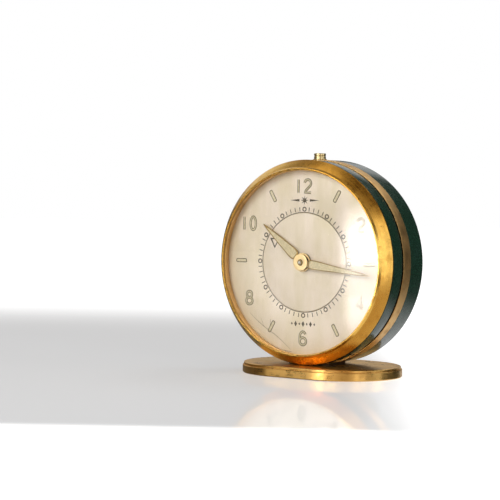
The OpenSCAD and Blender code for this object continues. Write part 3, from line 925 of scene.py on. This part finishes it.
class CLOCK_OT_case(bpy.types.Operator):
    """Turn the bezel, the green rings and the brass band"""

    bl_idname = "clock.case"
    bl_label = "Case"

    def execute(self, context):
        self.bezel()
        self.seams()
        self.front_ring()
        self.band()
        self.rear_shell()
        return {"FINISHED"}

    def bezel(self):
        """The stepped gilt bezel, and the plain ring inside it."""
        hole = sizes().opening / MM
        edge = CASE_R / MM
        outline = [
            (hole, -2.98), (hole, -3.22), (hole + 0.17, -3.38), (hole + 0.42, -3.34),
            (hole + 0.80, -2.50), (hole + 1.38, -1.94), (hole + 1.96, -1.28), (hole + 2.46, -0.66),
            (edge - 0.12, -0.12), (edge, 0.02), (edge, 0.15), (28.5, 0.2), (28.5, 2.2), (27.9, 2.2),
            (27.9, 0.7), (27.35, 0.2), (27.35, -2.98),
        ]
        gilt = finish("bezel_gilt", bright_gilt)
        mesh = turned(outline, 0.10, BEZEL_SEGMENTS)
        add_piece("bezel_ring", mesh, gilt, "case", "bright_gilt", "bezel")
        wall = turned([(26.7, -2.1), (27.3, -2.1), (27.3, 0.15), (27.0, 0.15)], 0.04)
        brass = finish("rehaut", band_brass)
        add_piece("inner_ring", wall, brass, "case", "band_brass", "rehaut_ring")

    def seams(self):
        """Painted shade in the two grooves: near-black rings with a floor and a far wall."""
        painted_shade = finish("painted_shade", seam_painted_shade)
        mouth = min(CASE_R, BAND_R) / MM - 0.01
        under, ground = 29.5, 29.72
        for name, start, wall, end in SEAMS:
            groove = [
                (under, start), (ground, start), (ground, wall), (mouth, wall), (mouth, end),
                (under, end),
            ]
            # Each groove gets a near-black ring of painted shade
            add_piece(name, turned(groove, 0.01), painted_shade, "case", "band_brass")

    def front_ring(self):
        """The narrow green ring behind the bezel."""
        edge = CASE_R / MM
        outline = [
            (28.6, 0.50), (edge, 0.50), (edge, 5.28), (28.55, 5.28), (28.55, 2.3), (28.6, 2.2),
        ]
        green = finish("green_lacquer", green_lacquer)
        mesh = turned(outline, [0.1, 0.1, 0.1, 0.1, 0.05, 0.05])
        add_piece("front_green_ring", mesh, green, "case", "green_lacquer", "front_shell")

    def band(self):
        """The brass band between the green rings, with a spigot towards each of them."""
        edge = BAND_R / MM
        outline = [
            (28.0, 5.0), (28.5, 5.0), (28.5, 5.6), (29.5, 5.6), (29.5, 5.95), (edge, 5.95),
            (edge, 9.82), (edge - 0.12, 9.9), (28.5, 9.9), (28.5, 11.2), (28.0, 11.2),
        ]
        brass = finish("band_brass", band_brass)
        add_piece("brass_band", turned(outline, 0.07), brass, "case", "band_brass", "middle_band")

    def rear_shell(self):
        """The deep green shell with its rounded back edge."""
        edge = BAND_R / MM
        outline = [
            (28.55, 9.92), (edge, 9.92), (edge, 17.5), (27.45, 17.5), (27.45, 16.7), (25.4, 16.7),
            (25.4, 15.9), (28.55, 15.9),
        ]
        green = finish("green_lacquer", green_lacquer)
        mesh = turned(outline, [0.1, 0.12, 1.8, 0.2, 0.05, 0.05, 0.1, 0.1], steps=8)
        add_piece("rear_green_shell", mesh, green, "case", "green_lacquer", "rear_shell")


def stadium(half_length, half_width, shrink, steps=48):
    """Points round an outline with straight sides and half-round ends."""
    centre = half_length - half_width
    radius = half_width - shrink
    points = []
    for side, start in ((1, -90), (-1, 90)):
        middle = Vector((side * centre, 0))
        points += [
            middle + Vector(spot) for spot in arc(0, 0, radius, radius, start, start + 180, steps)
        ]
        # Extra points keep the straight sides evenly divided
        begin = points[-1]
        end = begin - middle * 2
        points += [begin.lerp(end, k / 12) for k in range(1, 12)]
    return points


class CLOCK_OT_base(bpy.types.Operator):
    """Shape the stepped oval base plate"""

    bl_idname = "clock.base"
    bl_label = "Base"

    def execute(self, context):
        half_length = (BASE_HIGH.x - BASE_LOW.x) / 2
        half_width = (BASE_HIGH.y - BASE_LOW.y) / 2
        top = (BASE_HIGH.z - BASE_LOW.z) / MM
        # How far each step of the side is set in, and its height, in millimetres
        steps = [
            (1.2, 0.0), (0.25, 0.0), (0.0, 0.25), (0.0, 2.2), (0.12, 2.35), (0.45, 2.37),
            (0.45, 2.52), (0.36, 2.60), (0.36, top - 0.16), (0.62, top), (2.2, top),
        ]
        bm = bmesh.new()
        rings = []
        for inset, height in steps:
            outline = stadium(half_length, half_width, inset * MM)
            rings.append([bm.verts.new((p.x, p.y, BASE_LOW.z + height * MM)) for p in outline])
        for a, b in zip(rings, rings[1:]):
            for k in range(len(a)):
                n = (k + 1) % len(a)
                bm.faces.new([a[k], a[n], b[n], b[k]])
        bm.faces.new(rings[0][::-1])
        bm.faces.new(rings[-1])
        bmesh.ops.recalc_face_normals(bm, faces=bm.faces)
        mesh = smooth_mesh(mesh_from(bm, "base"), 25)
        brass = finish("aged_brass", aged_brass)
        add_piece("oval_base", mesh, brass, "case", "aged_brass", "base_plate")
        return {"FINISHED"}


def crystal_depth(radius, edge=-2.94 * MM):
    """Depth of the crystal's surface at a radius, from its depth at the edge."""
    dome = sizes().dome
    sphere = (CRYSTAL_R * CRYSTAL_R + dome * dome) / (2 * dome)
    return edge - dome + sphere - math.sqrt(sphere * sphere - radius * radius)


class CLOCK_OT_crystal(bpy.types.Operator):
    """Dome the crystal and cut its old cracks"""

    bl_idname = "clock.crystal"
    bl_label = "Crystal"

    def execute(self, context):
        count = 26
        radii = [CRYSTAL_R * k / count for k in range(count + 1)]
        outer = [(r, crystal_depth(r)) for r in radii]
        inner = [(r, crystal_depth(r, -2.2 * MM)) for r in reversed(radii)]
        mesh = lathe(outer + inner, about(0, 0), 128, 60)
        clear = finish("crystal", crystal_acrylic)
        add_piece("domed_crystal", mesh, clear, "case", "crystal_acrylic", "crystal")
        line = finish("crack", crack_line)
        meshes = [self.crack(path, radius) for path, radius in CRACKS]
        add_piece("crystal_cracks", joined(meshes), line, "case", "crystal_acrylic")
        return {"FINISHED"}

    def crack(self, path, radius):
        """A line that follows the dome and thins out at both ends."""
        line = eased(in_mm(path), 5)
        spots = [(p.x, p.y, -crystal_depth(p.length) - 0.01 * MM) for p in line]
        shares = [(i + 1) / (len(line) + 1) for i in range(len(line))]
        taper = [0.35 + 0.65 * math.sin(math.pi * share) for share in shares]
        return bead(spots, radius * MM, dial_matrix(0, 0, 0), taper=taper, sides=2)


class CLOCK_OT_dial(bpy.types.Operator):
    """Make the dial, its alarm ring of circles and ticks, and its small ornaments"""

    bl_idname = "clock.dial"
    bl_label = "Dial"

    def execute(self, context):
        inner = sizes().alarm_disc / MM + 0.12
        silver = finish("dial_silver", silvered_dial)
        mesh = turned(washer(inner, 27.8, 0.2, 0.7), 0.05, steps=2)
        add_piece("dial_ring", mesh, silver, "case", "dial_silver", "dial")
        depth = DIAL_DEPTH - 0.006 * MM
        black = finish("ink", ink)
        marks = self.alarm_ring(inner, depth)
        add_piece("alarm_ring_print_and_gap_shade", joined(marks), black, "case", "gilt_print")
        add_piece("dial_ornaments", joined(self.ornaments(depth)), black, "case", "gilt_print")
        return {"FINISHED"}

    def alarm_ring(self, inner, depth):
        """A thin dark line round the alarm disc, which is painted shade in the gap between the disc
        and the dial ring, with a printed circle at each hour and a tick between.
        """
        # The first mark, a ring at the dial ring's inner edge, is painted shade standing for the
        # gap's shadow
        edges = [circle((inner + wide) * MM, count=160) for wide in (0.15, 0.01)]
        marks = [printed(edges, dial_matrix(0, 0, depth))]
        hour = [circle(radius * MM, count=28) for radius in (0.72, 0.40)]
        tick = [in_mm([(-0.12, -0.6), (0.12, -0.6), (0.12, 0.62), (-0.12, 0.62)])]
        for minute in range(60):
            clock = minute * 6
            place = polar(15.5 * MM, clock)
            matrix = dial_matrix(place.x, place.y, depth, clock)
            marks.append(printed(tick if minute % 5 else hour, matrix))
        return marks

    def ornaments(self, depth):
        """A star between tapered bars above the centre, and a row of lozenges below it."""
        upper = dial_matrix(0, 18.1 * MM, depth)
        star = [polar((0.5 if k % 2 else 1.35) * MM, k * 22.5) for k in range(16)]
        marks = [printed([star], upper)]
        for side in (-1, 1):
            bar = [(side * 1.8, 0.38), (side * 5.0, 0.0), (side * 1.8, -0.38)]
            marks.append(printed([in_mm(bar)], upper))
        for k in range(-3, 4):
            tall, wide = (0.42, 0.32) if k % 2 else (0.85, 0.5)
            lozenge = in_mm([(0, tall), (wide, 0), (0, -tall), (-wide, 0)])
            marks.append(printed([lozenge], dial_matrix(k * 1.3 * MM, -18.0 * MM, depth)))
        return marks


def digit_paths(digit):
    """Strokes of a digit in a box one high and about half as wide, each open or closed."""

    def loop(up, rx, ry):
        return arc(0.27, up, rx, ry, 0, 360, 28)[:-1], True

    hook = arc(0.27, 0.68, 0.24, 0.24, 172, -35, 16)
    stem = arc(0.27, 0.54, 0.24, 0.38, 180, 35, 14)
    return {
        0: [loop(0.5, 0.21, 0.42)],
        1: [([(0.27, 0.08), (0.27, 0.92)], False)],
        2: [(hook + [(0.12, 0.22), (0.05, 0.09), (0.51, 0.09)], False)],
        4: [([(0.38, 0.08), (0.38, 0.92), (0.03, 0.32), (0.54, 0.32)], False)],
        6: [loop(0.31, 0.24, 0.23), ([(0.03, 0.31)] + stem, False)],
        8: [loop(0.72, 0.20, 0.20), loop(0.30, 0.24, 0.22)],
    }[digit]


class CLOCK_OT_hours(bpy.types.Operator):
    """Paint the luminous hour numerals and batons with their outlines"""

    bl_idname = "clock.hours"
    bl_label = "Hour marks"

    def execute(self, context):
        outline, fill = [], []
        for hour in range(2, 13, 2):
            self.numeral(hour, outline, fill)
        for hour in range(1, 12, 2):
            self.baton(hour, outline, fill)
        edge = finish("gilt_print", gilt_print)
        nodes = ("hour_numerals", "hour_batons")
        add_piece("hour_outlines", joined(outline), edge, "case", "gilt_print", *nodes)
        glow = finish("numeral_lume", numeral_lume)
        add_piece("hour_lume", joined(fill), glow, "case", "gilt_print")
        return {"FINISHED"}

    def numeral(self, hour, outline, fill):
        """Upright numeral: a wide flat line with a narrower, thicker one over it."""
        tall = sizes().numeral
        place = polar(sizes().numeral_ring, hour * 30)
        matrix = dial_matrix(place.x, place.y, DIAL_DEPTH)
        digits = [(hour, -0.27)] if hour < 10 else [(1, -0.74), (hour - 10, -0.04)]
        for digit, start in digits:
            for path, closed in digit_paths(digit):
                spots = [((x + start) * tall, (y - 0.5) * tall) for x, y in path]
                outline.append(bead(spots, 0.39 * MM, matrix, 0.12, closed))
                fill.append(bead(spots, 0.19 * MM, matrix, 0.36, closed))

    def baton(self, hour, outline, fill):
        """Bar that points at the centre, with a raised fill inside its outline."""
        middle = polar(22.25 * MM, hour * 30)
        matrix = dial_matrix(middle.x, middle.y, DIAL_DEPTH, hour * 30)
        outer, inner = self.rod(0.6, 1.95), self.rod(0.36, 1.7)
        outline.append(plate([outer, inner], 0.09 * MM, matrix, 0.02 * MM))
        fill.append(plate([inner], 0.13 * MM, matrix, 0.03 * MM))

    def rod(self, half, length):
        """Outline of an upright bar with rounded ends, from half its width and length."""
        corners = [(-half, -length), (half, -length), (half, length), (-half, length)]
        return filleted(in_mm(corners), half * 0.9 * MM, 5)


class CLOCK_OT_alarm_disc(bpy.types.Operator):
    """Make the turning alarm disc and its pointer"""

    bl_idname = "clock.alarm_disc"
    bl_label = "Alarm disc"

    def execute(self, context):
        edge = sizes().alarm_disc / MM
        bore = 1.78
        silver = finish("dial_silver", silvered_dial)
        disc = turned(washer(bore, edge, 0.15, 0.5), 0.06, steps=3)
        add_piece("alarm_dial_disc", disc, silver, "alarm_dial_set", "dial_silver", "alarm_disc")
        painted_shade = finish("painted_shade", seam_painted_shade)
        # A near-black ring round the bore: painted shade round the hub of the hands
        recess = turned(washer(bore, 2.62, 0.12, 0.18), 0.02, SMALL_SEGMENTS, 2)
        add_piece("alarm_dial_recess", recess, painted_shade, "alarm_dial_set", "dial_silver")
        black = finish("ink", ink)
        pointer = self.pointer()
        add_piece("alarm_triangle", pointer, black, "alarm_dial_set", "gilt_print", "alarm_pointer")
        return {"FINISHED"}

    def pointer(self):
        """Outline of a triangle that points outwards."""
        tip, tall, half = 13.8, 2.95, 1.77
        foot = tip - tall
        outer = [(0, tip), (half, foot), (-half, foot)]
        inner = [(0, tip - 0.85), (half - 0.56, foot + 0.30), (0.56 - half, foot + 0.30)]
        middle = node_middle("alarm_pointer")
        clock = math.degrees(math.atan2(middle.x, middle.y))
        matrix = dial_matrix(0, 0, 0.135 * MM, clock)
        return plate([in_mm(outer), in_mm(inner)], 0.05 * MM, matrix, 0.008 * MM)


def hand_outline(stations, scale=1.0):
    """Closed leaf outline from (reach, half width) stations in millimetres, smoothed."""
    side = eased(stations, 6)
    right = [(p.y * scale * MM, p.x * MM) for p in side]
    left = [(-x, y) for x, y in reversed(right)]
    return right + left


class CLOCK_OT_hands(bpy.types.Operator):
    """Cut the two skeleton hands and fill them with luminous paint"""

    bl_idname = "clock.hands"
    bl_label = "Hands"

    def execute(self, context):
        blunt = 0.07
        hour = HOUR_HAND + [(sizes().hour_hand / MM, blunt)]
        minute = MINUTE_HAND + [(sizes().minute_hand / MM, blunt)]
        self.hand("hour", hour, HOUR_FILL, self.hour_clock(), (1.27, 2.30, 2.72), 0.14)
        self.hand("minute", minute, MINUTE_FILL, self.minute_clock(), (0.77, 0.91, 2.42), 0.03)
        return {"FINISHED"}

    def hand(self, kind, stations, fill, clock, radii, sunk):
        """One hand: its frame, its boss with a sunken middle in near-black painted shade, and its
        paint.

        radii are those of the bore, the boss's inner edge and the boss's outer edge.
        """
        body, node = kind + "_set", kind + "_hand"
        low, high = node_box(node)
        depth = (low.y + high.y) / 2 - FACE_Y
        thick = high.y - low.y
        front, back = (depth - thick / 2) / MM, (depth + thick / 2) / MM
        bore, rim, outer = radii
        matrix = dial_matrix(0, 0, depth, clock)

        sides = plate([hand_outline(stations), hand_outline(fill)], thick * 0.8, matrix, 0.05 * MM)
        gilt = finish("hand_edge", edge_gilt)
        add_piece(node + "_frame", sides, gilt, body, "hand_gilt", node)
        boss = turned(washer(rim, outer, front, back), 0.06, SMALL_SEGMENTS, 3)
        add_piece(node + "_boss", boss, finish("hand_gilt", hand_gilt), body, "hand_gilt")
        # The sunken middle is near-black painted shade, where the boss's recess lies in shadow
        well = turned(washer(bore, rim + 0.02, front + sunk, back), 0.03, SMALL_SEGMENTS, 3)
        add_piece(node + "_well", well, finish("painted_shade", seam_painted_shade), body, "hand_gilt")
        glow = plate([hand_outline(fill, 1.04)], thick * 0.55, matrix, 0.03 * MM)
        add_piece(node + "_lume", glow, finish("hand_lume", lume), body, "hand_gilt")

    def hour_clock(self):
        """Clock angle of the hour hand, from the corner of its box that is furthest out."""
        low, high = node_box("hour_hand")
        across = max(high.x, low.x, key=abs)
        up = max(high.z - AXIS_Z, low.z - AXIS_Z, key=abs)
        return math.degrees(math.atan2(across, up))

    def minute_clock(self):
        """Clock angle of the minute hand. Its box gives how far right the tip is, and it is low."""
        low, high = node_box("minute_hand")
        reach = sizes().minute_hand
        drop = math.sqrt(max(reach**2 - max(high.x, -low.x) ** 2, 0))
        return math.degrees(math.acos(max(-1, min(1, -drop / reach))))


class CLOCK_OT_button(bpy.types.Operator):
    """Turn the stop button and its collar"""

    bl_idname = "clock.button"
    bl_label = "Stop button"

    def execute(self, context):
        middle = (BUTTON_LOW + BUTTON_HIGH) / 2
        place = upright(middle.x, middle.y)
        radius = (BUTTON_HIGH.x - BUTTON_LOW.x) / 2 / MM
        brass = finish("button_brass", pale_brass)

        top, foot = BUTTON_HIGH.z / MM, BUTTON_LOW.z / MM
        shoulder = AXIS_Z / MM + 27.0
        stem, groove = 0.8, radius - 0.10
        outline = [
            (0, top), (radius, top), (radius, top - 0.62), (groove, top - 0.72),
            (groove, top - 0.84), (radius, top - 0.94), (radius, shoulder), (stem, shoulder),
            (stem, foot), (0, foot),
        ]
        fillets = [0, 0.16] + [0.03] * 5 + [0.02] * 2 + [0]
        cap = turned(outline, fillets, SMALL_SEGMENTS, 3, place)
        add_piece(
            "alarm_stop_button", cap, brass, "stop_button_set", "bright_gilt", "stop_button"
        )

        low, high = node_box("button_bush")
        top, foot = high.z / MM, low.z / MM
        bore, edge = radius + 0.05, (high.x - middle.x) / MM
        flange = top - 0.15
        outline = [
            (bore, top), (edge, top), (edge, flange), (edge - 0.1, flange), (edge - 0.1, foot),
            (bore, foot),
        ]
        collar = turned(outline, 0.05, SMALL_SEGMENTS, 3, place)
        add_piece("button_collar", collar, brass, "case", "bright_gilt", "button_bush")
        return {"FINISHED"}


class CLOCK_OT_back(bpy.types.Operator):
    """Finish the back cover, its bead and printed marks, and the grips of the folding bows"""

    bl_idname = "clock.back"
    bl_label = "Back"

    def execute(self, context):
        gilt = finish("cover_gilt", cover_gilt)
        frame["nodes"]["back_cover"].data.materials.clear()
        frame["nodes"]["back_cover"].data.materials.append(gilt)
        face = node_box("back_cover")[1].y - FACE_Y
        add_piece("cover_bead", self.bead_ring(face), gilt, "case", "bright_gilt")
        marks = self.arrows(face + 0.004 * MM) + self.scale(face + 0.004 * MM)
        add_piece("cover_marks", joined(marks), finish("ink", ink), "case", "gilt_print")
        for kind in ("going", "alarm"):
            grip = self.grip(kind + "_key")
            worn = finish("grip_gilt", key_gilt)
            add_piece(kind + "_bow_grip", grip, worn, kind + "_bow", "bright_gilt")
        return {"FINISHED"}

    def bead_ring(self, face):
        """Half-round bead that stands a little out of the cover."""
        middle, half, proud = 24.5 * MM, 0.4 * MM, 0.16 * MM
        foot = face - 0.1 * MM
        crown = [
            (middle - half * math.cos(math.radians(a)), face + proud * math.sin(math.radians(a)))
            for a in range(0, 181, 15)
        ]
        return lathe([(middle - half, foot), *crown, (middle + half, foot)], about(0, 0))

    def arrows(self, depth):
        """Curved arrows beside the keys, which turn one way, and the knobs, which turn both."""
        marks = []
        for node, radius, start, both in ARROWS:
            middle = node_middle(node)
            matrix = dial_matrix(middle.x, middle.y, depth)
            angles = [start - 2 * start * k / 20 for k in range(21)]
            band = [polar((radius + 0.11) * MM, a) for a in angles]
            band += [polar((radius - 0.11) * MM, a) for a in reversed(angles)]
            marks.append(printed([band], matrix))
            for way in (-1, 1) if both else (-1,):
                tail = way * start
                head = [
                    polar((radius + 0.42) * MM, tail),
                    polar(radius * MM, tail + way * 17),
                    polar((radius - 0.42) * MM, tail),
                ]
                marks.append(printed([head], matrix))
        return marks

    def scale(self, depth):
        """Ticks beside the regulator's slot, round the middle of the balance wheel."""
        middle = node_middle("balance_wheel")
        marks = []
        for k in range(9):
            inner, half = 7.4, 0.08
            outer = inner + (0.9 if k % 4 else 1.5)
            tick = in_mm([(-half, inner), (half, inner), (half, outer), (-half, outer)])
            matrix = dial_matrix(middle.x, middle.y, depth, 50 + 5 * k)
            marks.append(printed([tick], matrix))
        return marks

    def grip(self, node):
        """Raised rim and grip lines on the wing of a key's folding bow."""
        middle = node_middle(node)
        face = node_box(node + "_bow")[1].y - FACE_Y
        matrix = dial_matrix(middle.x, middle.y - 2.9 * MM, face)
        rim = [polar(3.62 * MM, a) for a in range(52, 309, 4)]
        meshes = [bead(rim, 0.17 * MM, matrix, 0.8)]
        for clock in range(120, 241, 20):
            line = [polar(r * MM, clock) for r in (0.9, 1.5, 2.2, 2.9)]
            meshes.append(bead(line, 0.13 * MM, matrix, 0.8, taper=(0.5, 1.0, 1.0, 0.5)))
        return joined(meshes)


class CLOCK_OT_movement(bpy.types.Operator):
    """Give every piece that stays from the frame its finish"""

    bl_idname = "clock.movement"
    bl_label = "Movement"

    def execute(self, context):
        slots = {part["node"]: part["material_slot"] for part in frame["record"]["subparts"]}
        for name, node in frame["nodes"].items():
            if name == "back_cover":
                continue
            usual = ("part_" + slots[name], SLOT_FINISHES[slots[name]])
            node.data.materials.clear()
            node.data.materials.append(finish(*NODE_FINISHES.get(name, usual)))
        return {"FINISHED"}


# ---------------------------------------------------------------- stage


def direction(azimuth, elevation):
    """Unit vector away from the clock. Azimuth 0 is in front of the dial and 90 at its right."""
    a, e = math.radians(azimuth), math.radians(elevation)
    return Vector((math.sin(a) * math.cos(e), -math.cos(a) * math.cos(e), math.sin(e)))


def softbox(name, azimuth, elevation, distance, wide, tall, radiance, feather):
    """Rectangular lamp that faces the clock and fades over a share of its width to each edge."""
    lamp = bpy.data.lights.new(name, "AREA")
    lamp.shape = "RECTANGLE"
    lamp.size = wide
    lamp.size_y = tall
    lamp.energy = radiance * math.pi * wide * tall
    lamp.use_nodes = True
    graph = Graph(lamp.node_tree)
    place = graph.add("ShaderNodeNewGeometry").outputs["Parametric"]
    fades = []
    for part in graph.parts(place)[:2]:
        fades.append(graph.spread(part, 0.0, feather))
        fades.append(graph.spread(part, 1.0, 1.0 - feather))
    strength = lamp.node_tree.nodes["Emission"].inputs["Strength"]
    lamp.node_tree.links.new(graph.product(*fades), strength)
    light = bpy.data.objects.new(name, lamp)
    away = direction(azimuth, elevation)
    light.location = CENTRE + away * distance
    light.rotation_euler = (-away).to_track_quat("-Z", "Y").to_euler()
    bpy.context.scene.collection.objects.link(light)


class CLOCK_OT_stage(bpy.types.Operator):
    """Set up the camera, lights, floor and background"""

    bl_idname = "clock.stage"
    bl_label = "Stage"

    def execute(self, context):
        self.camera(context.scene)
        self.world(context.scene)
        self.floor(context.scene)
        for name, lamp in LAMPS.items():
            softbox(name, *lamp)
        context.scene.view_settings.view_transform = "Standard"
        return {"FINISHED"}

    def camera(self, scene):
        """From the right of the dial, almost level, with the clock right of the middle."""
        away = direction(VIEW_AZIMUTH, VIEW_ELEVATION)
        right = direction(VIEW_AZIMUTH + 90, 0)
        up = away.cross(right)
        camera = bpy.data.objects.new("camera", bpy.data.cameras.new("camera"))
        camera.data.sensor_width = 36
        camera.data.lens = VIEW_LENS
        camera.data.clip_start = 0.01
        camera.location = CENTRE + away * VIEW_DISTANCE
        look = CENTRE - right * AIM_LEFT + up * AIM_UP - camera.location
        roll = Quaternion((0, 0, 1), math.radians(VIEW_ROLL))
        camera.rotation_euler = (look.to_track_quat("-Z", "Y") @ roll).to_euler()
        scene.collection.objects.link(camera)
        scene.camera = camera

    def world(self, scene):
        """White to the camera. Reflections see white behind and below, and warm dimness in front.

        They also see a dark patch at the right and another low at the left.
        """
        world = bpy.data.worlds.new("studio")
        scene.world = world
        world.use_nodes = True
        graph = Graph(world.node_tree)
        way = graph.add("ShaderNodeTexCoord").outputs["Generated"]
        across, deep, up = graph.parts(way)
        behind = graph.spread(deep, -0.3, 0.4, 0.20, 0.78)
        level = graph.product(behind, graph.spread(up, 0.55, 0.85, 1.0, 0.35))
        downward = graph.spread(up, 0.0, -0.2)
        ground = graph.product(downward, graph.spread(deep, -0.3, 0.5, 0.5, 1.0))
        level = graph.maths("MAXIMUM", level, ground)

        # The right patch reaches further across above the horizon than below it
        wider = graph.maths("ADD", across, graph.spread(up, -0.1, 0.15, 0.0, 0.27))
        right = graph.product(
            graph.spread(wider, -0.08, 0.18),
            graph.spread(deep, -0.35, 0.0),
            graph.spread(up, 0.68, 0.58),
            graph.spread(up, -0.56, -0.26),
        )
        left = graph.product(
            graph.spread(across, -0.15, -0.45), graph.spread(up, 0.35, 0.15), 0.8
        )
        dark = graph.maths("MAXIMUM", right, left)
        red = graph.product(level, graph.spread(dark, 0.0, 1.0, 1.0, 0.06))
        green = graph.product(red, graph.spread(deep, -0.3, 0.4, 0.74, 1.0))
        blue = graph.product(red, graph.spread(deep, -0.3, 0.4, 0.48, 1.0))
        tint = graph.add("ShaderNodeCombineColor", None, Red=red, Green=green, Blue=blue)
        seen = graph.add("ShaderNodeLightPath").outputs["Is Camera Ray"]
        shade = graph.mix(seen, tint.outputs[0], (1.0, 1.0, 1.0))
        back = world.node_tree.nodes["Background"]
        world.node_tree.links.new(shade, back.inputs["Color"])

    def floor(self, scene):
        """Pale floor, lifted towards white for the camera, with a reflection near the clock."""
        bm = bmesh.new()
        bmesh.ops.create_grid(bm, x_segments=8, y_segments=8, size=3.0)
        mesh = mesh_from(bm, "floor")
        floor = bpy.data.objects.new("floor", mesh)
        floor.location.z = BASE_LOW.z - 0.02 * MM
        floor.visible_glossy = False
        scene.collection.objects.link(floor)
        material = bpy.data.materials.new("floor")
        material.use_nodes = True
        graph = Graph(material.node_tree)
        nodes = material.node_tree.nodes
        nodes.remove(nodes["Principled BSDF"])

        # Distances in metres along the floor, towards the viewer and to the viewer's right
        place = graph.add("ShaderNodeTexCoord").outputs["Object"]
        nearer = graph.vector("DOT_PRODUCT", place, (0.549, -0.836, 0.0))
        right = graph.vector("DOT_PRODUCT", place, (0.836, 0.549, 0.0))
        front = graph.spread(nearer, 0.114, 0.132)
        white = graph.maths("MAXIMUM", front, graph.spread(nearer, -0.10, -0.45))
        white = graph.maths("MAXIMUM", white, graph.spread(right, -0.005, 0.045))

        matt_part = graph.add("ShaderNodeBsdfDiffuse", None, Color=(*colours().floor, 1))
        gloss = graph.add("ShaderNodeBsdfGlossy", None, Color=(1, 1, 1, 1), Roughness=0.06)
        seen = graph.add("ShaderNodeLightPath").outputs["Is Camera Ray"]
        lift = graph.product(seen, graph.spread(white, 0.0, 1.0, 0.29, 1.0))
        glow = graph.add("ShaderNodeEmission", None, Color=(1, 1, 1, 1), Strength=lift).outputs[0]
        share = graph.spread(front, 0.0, 1.0, 0.42, 0.0)
        layers = dict(i0=share, i1=matt_part.outputs[0], i2=gloss.outputs[0])
        sheen = graph.add("ShaderNodeMixShader", None, **layers).outputs[0]
        both = graph.add("ShaderNodeAddShader", None, i0=sheen, i1=glow).outputs[0]
        material.node_tree.links.new(both, nodes["Material Output"].inputs["Surface"])
        mesh.materials.append(material)


class CLOCK_PT_panel(bpy.types.Panel):
    """Lists the clock's steps, sizes and colours"""

    bl_idname = "CLOCK_PT_panel"
    bl_label = "Travel alarm clock"
    bl_space_type = "VIEW_3D"
    bl_region_type = "UI"
    bl_category = "Clock"

    def draw(self, context):
        for step in STEPS:
            self.layout.operator(step.bl_idname)
        for settings in (context.scene.clock_sizes, context.scene.clock_colours):
            for key in settings.__annotations__:
                self.layout.prop(settings, key)


STEPS = (
    CLOCK_OT_stage,
    CLOCK_OT_movement,
    CLOCK_OT_base,
    CLOCK_OT_case,
    CLOCK_OT_dial,
    CLOCK_OT_hours,
    CLOCK_OT_alarm_disc,
    CLOCK_OT_hands,
    CLOCK_OT_crystal,
    CLOCK_OT_button,
    CLOCK_OT_back,
)
CLASSES = (ClockSizes, ClockColours, *STEPS, CLOCK_PT_panel)


def register():
    for item in CLASSES:
        bpy.utils.register_class(item)
    bpy.types.Scene.clock_sizes = PointerProperty(type=ClockSizes)
    bpy.types.Scene.clock_colours = PointerProperty(type=ClockColours)


def unregister():
    del bpy.types.Scene.clock_colours
    del bpy.types.Scene.clock_sizes
    for item in reversed(CLASSES):
        bpy.utils.unregister_class(item)


def main():
    register()
    for step in STEPS:
        area, name = step.bl_idname.split(".")
        getattr(getattr(bpy.ops, area), name)()


if __name__ == "__main__":
    main()
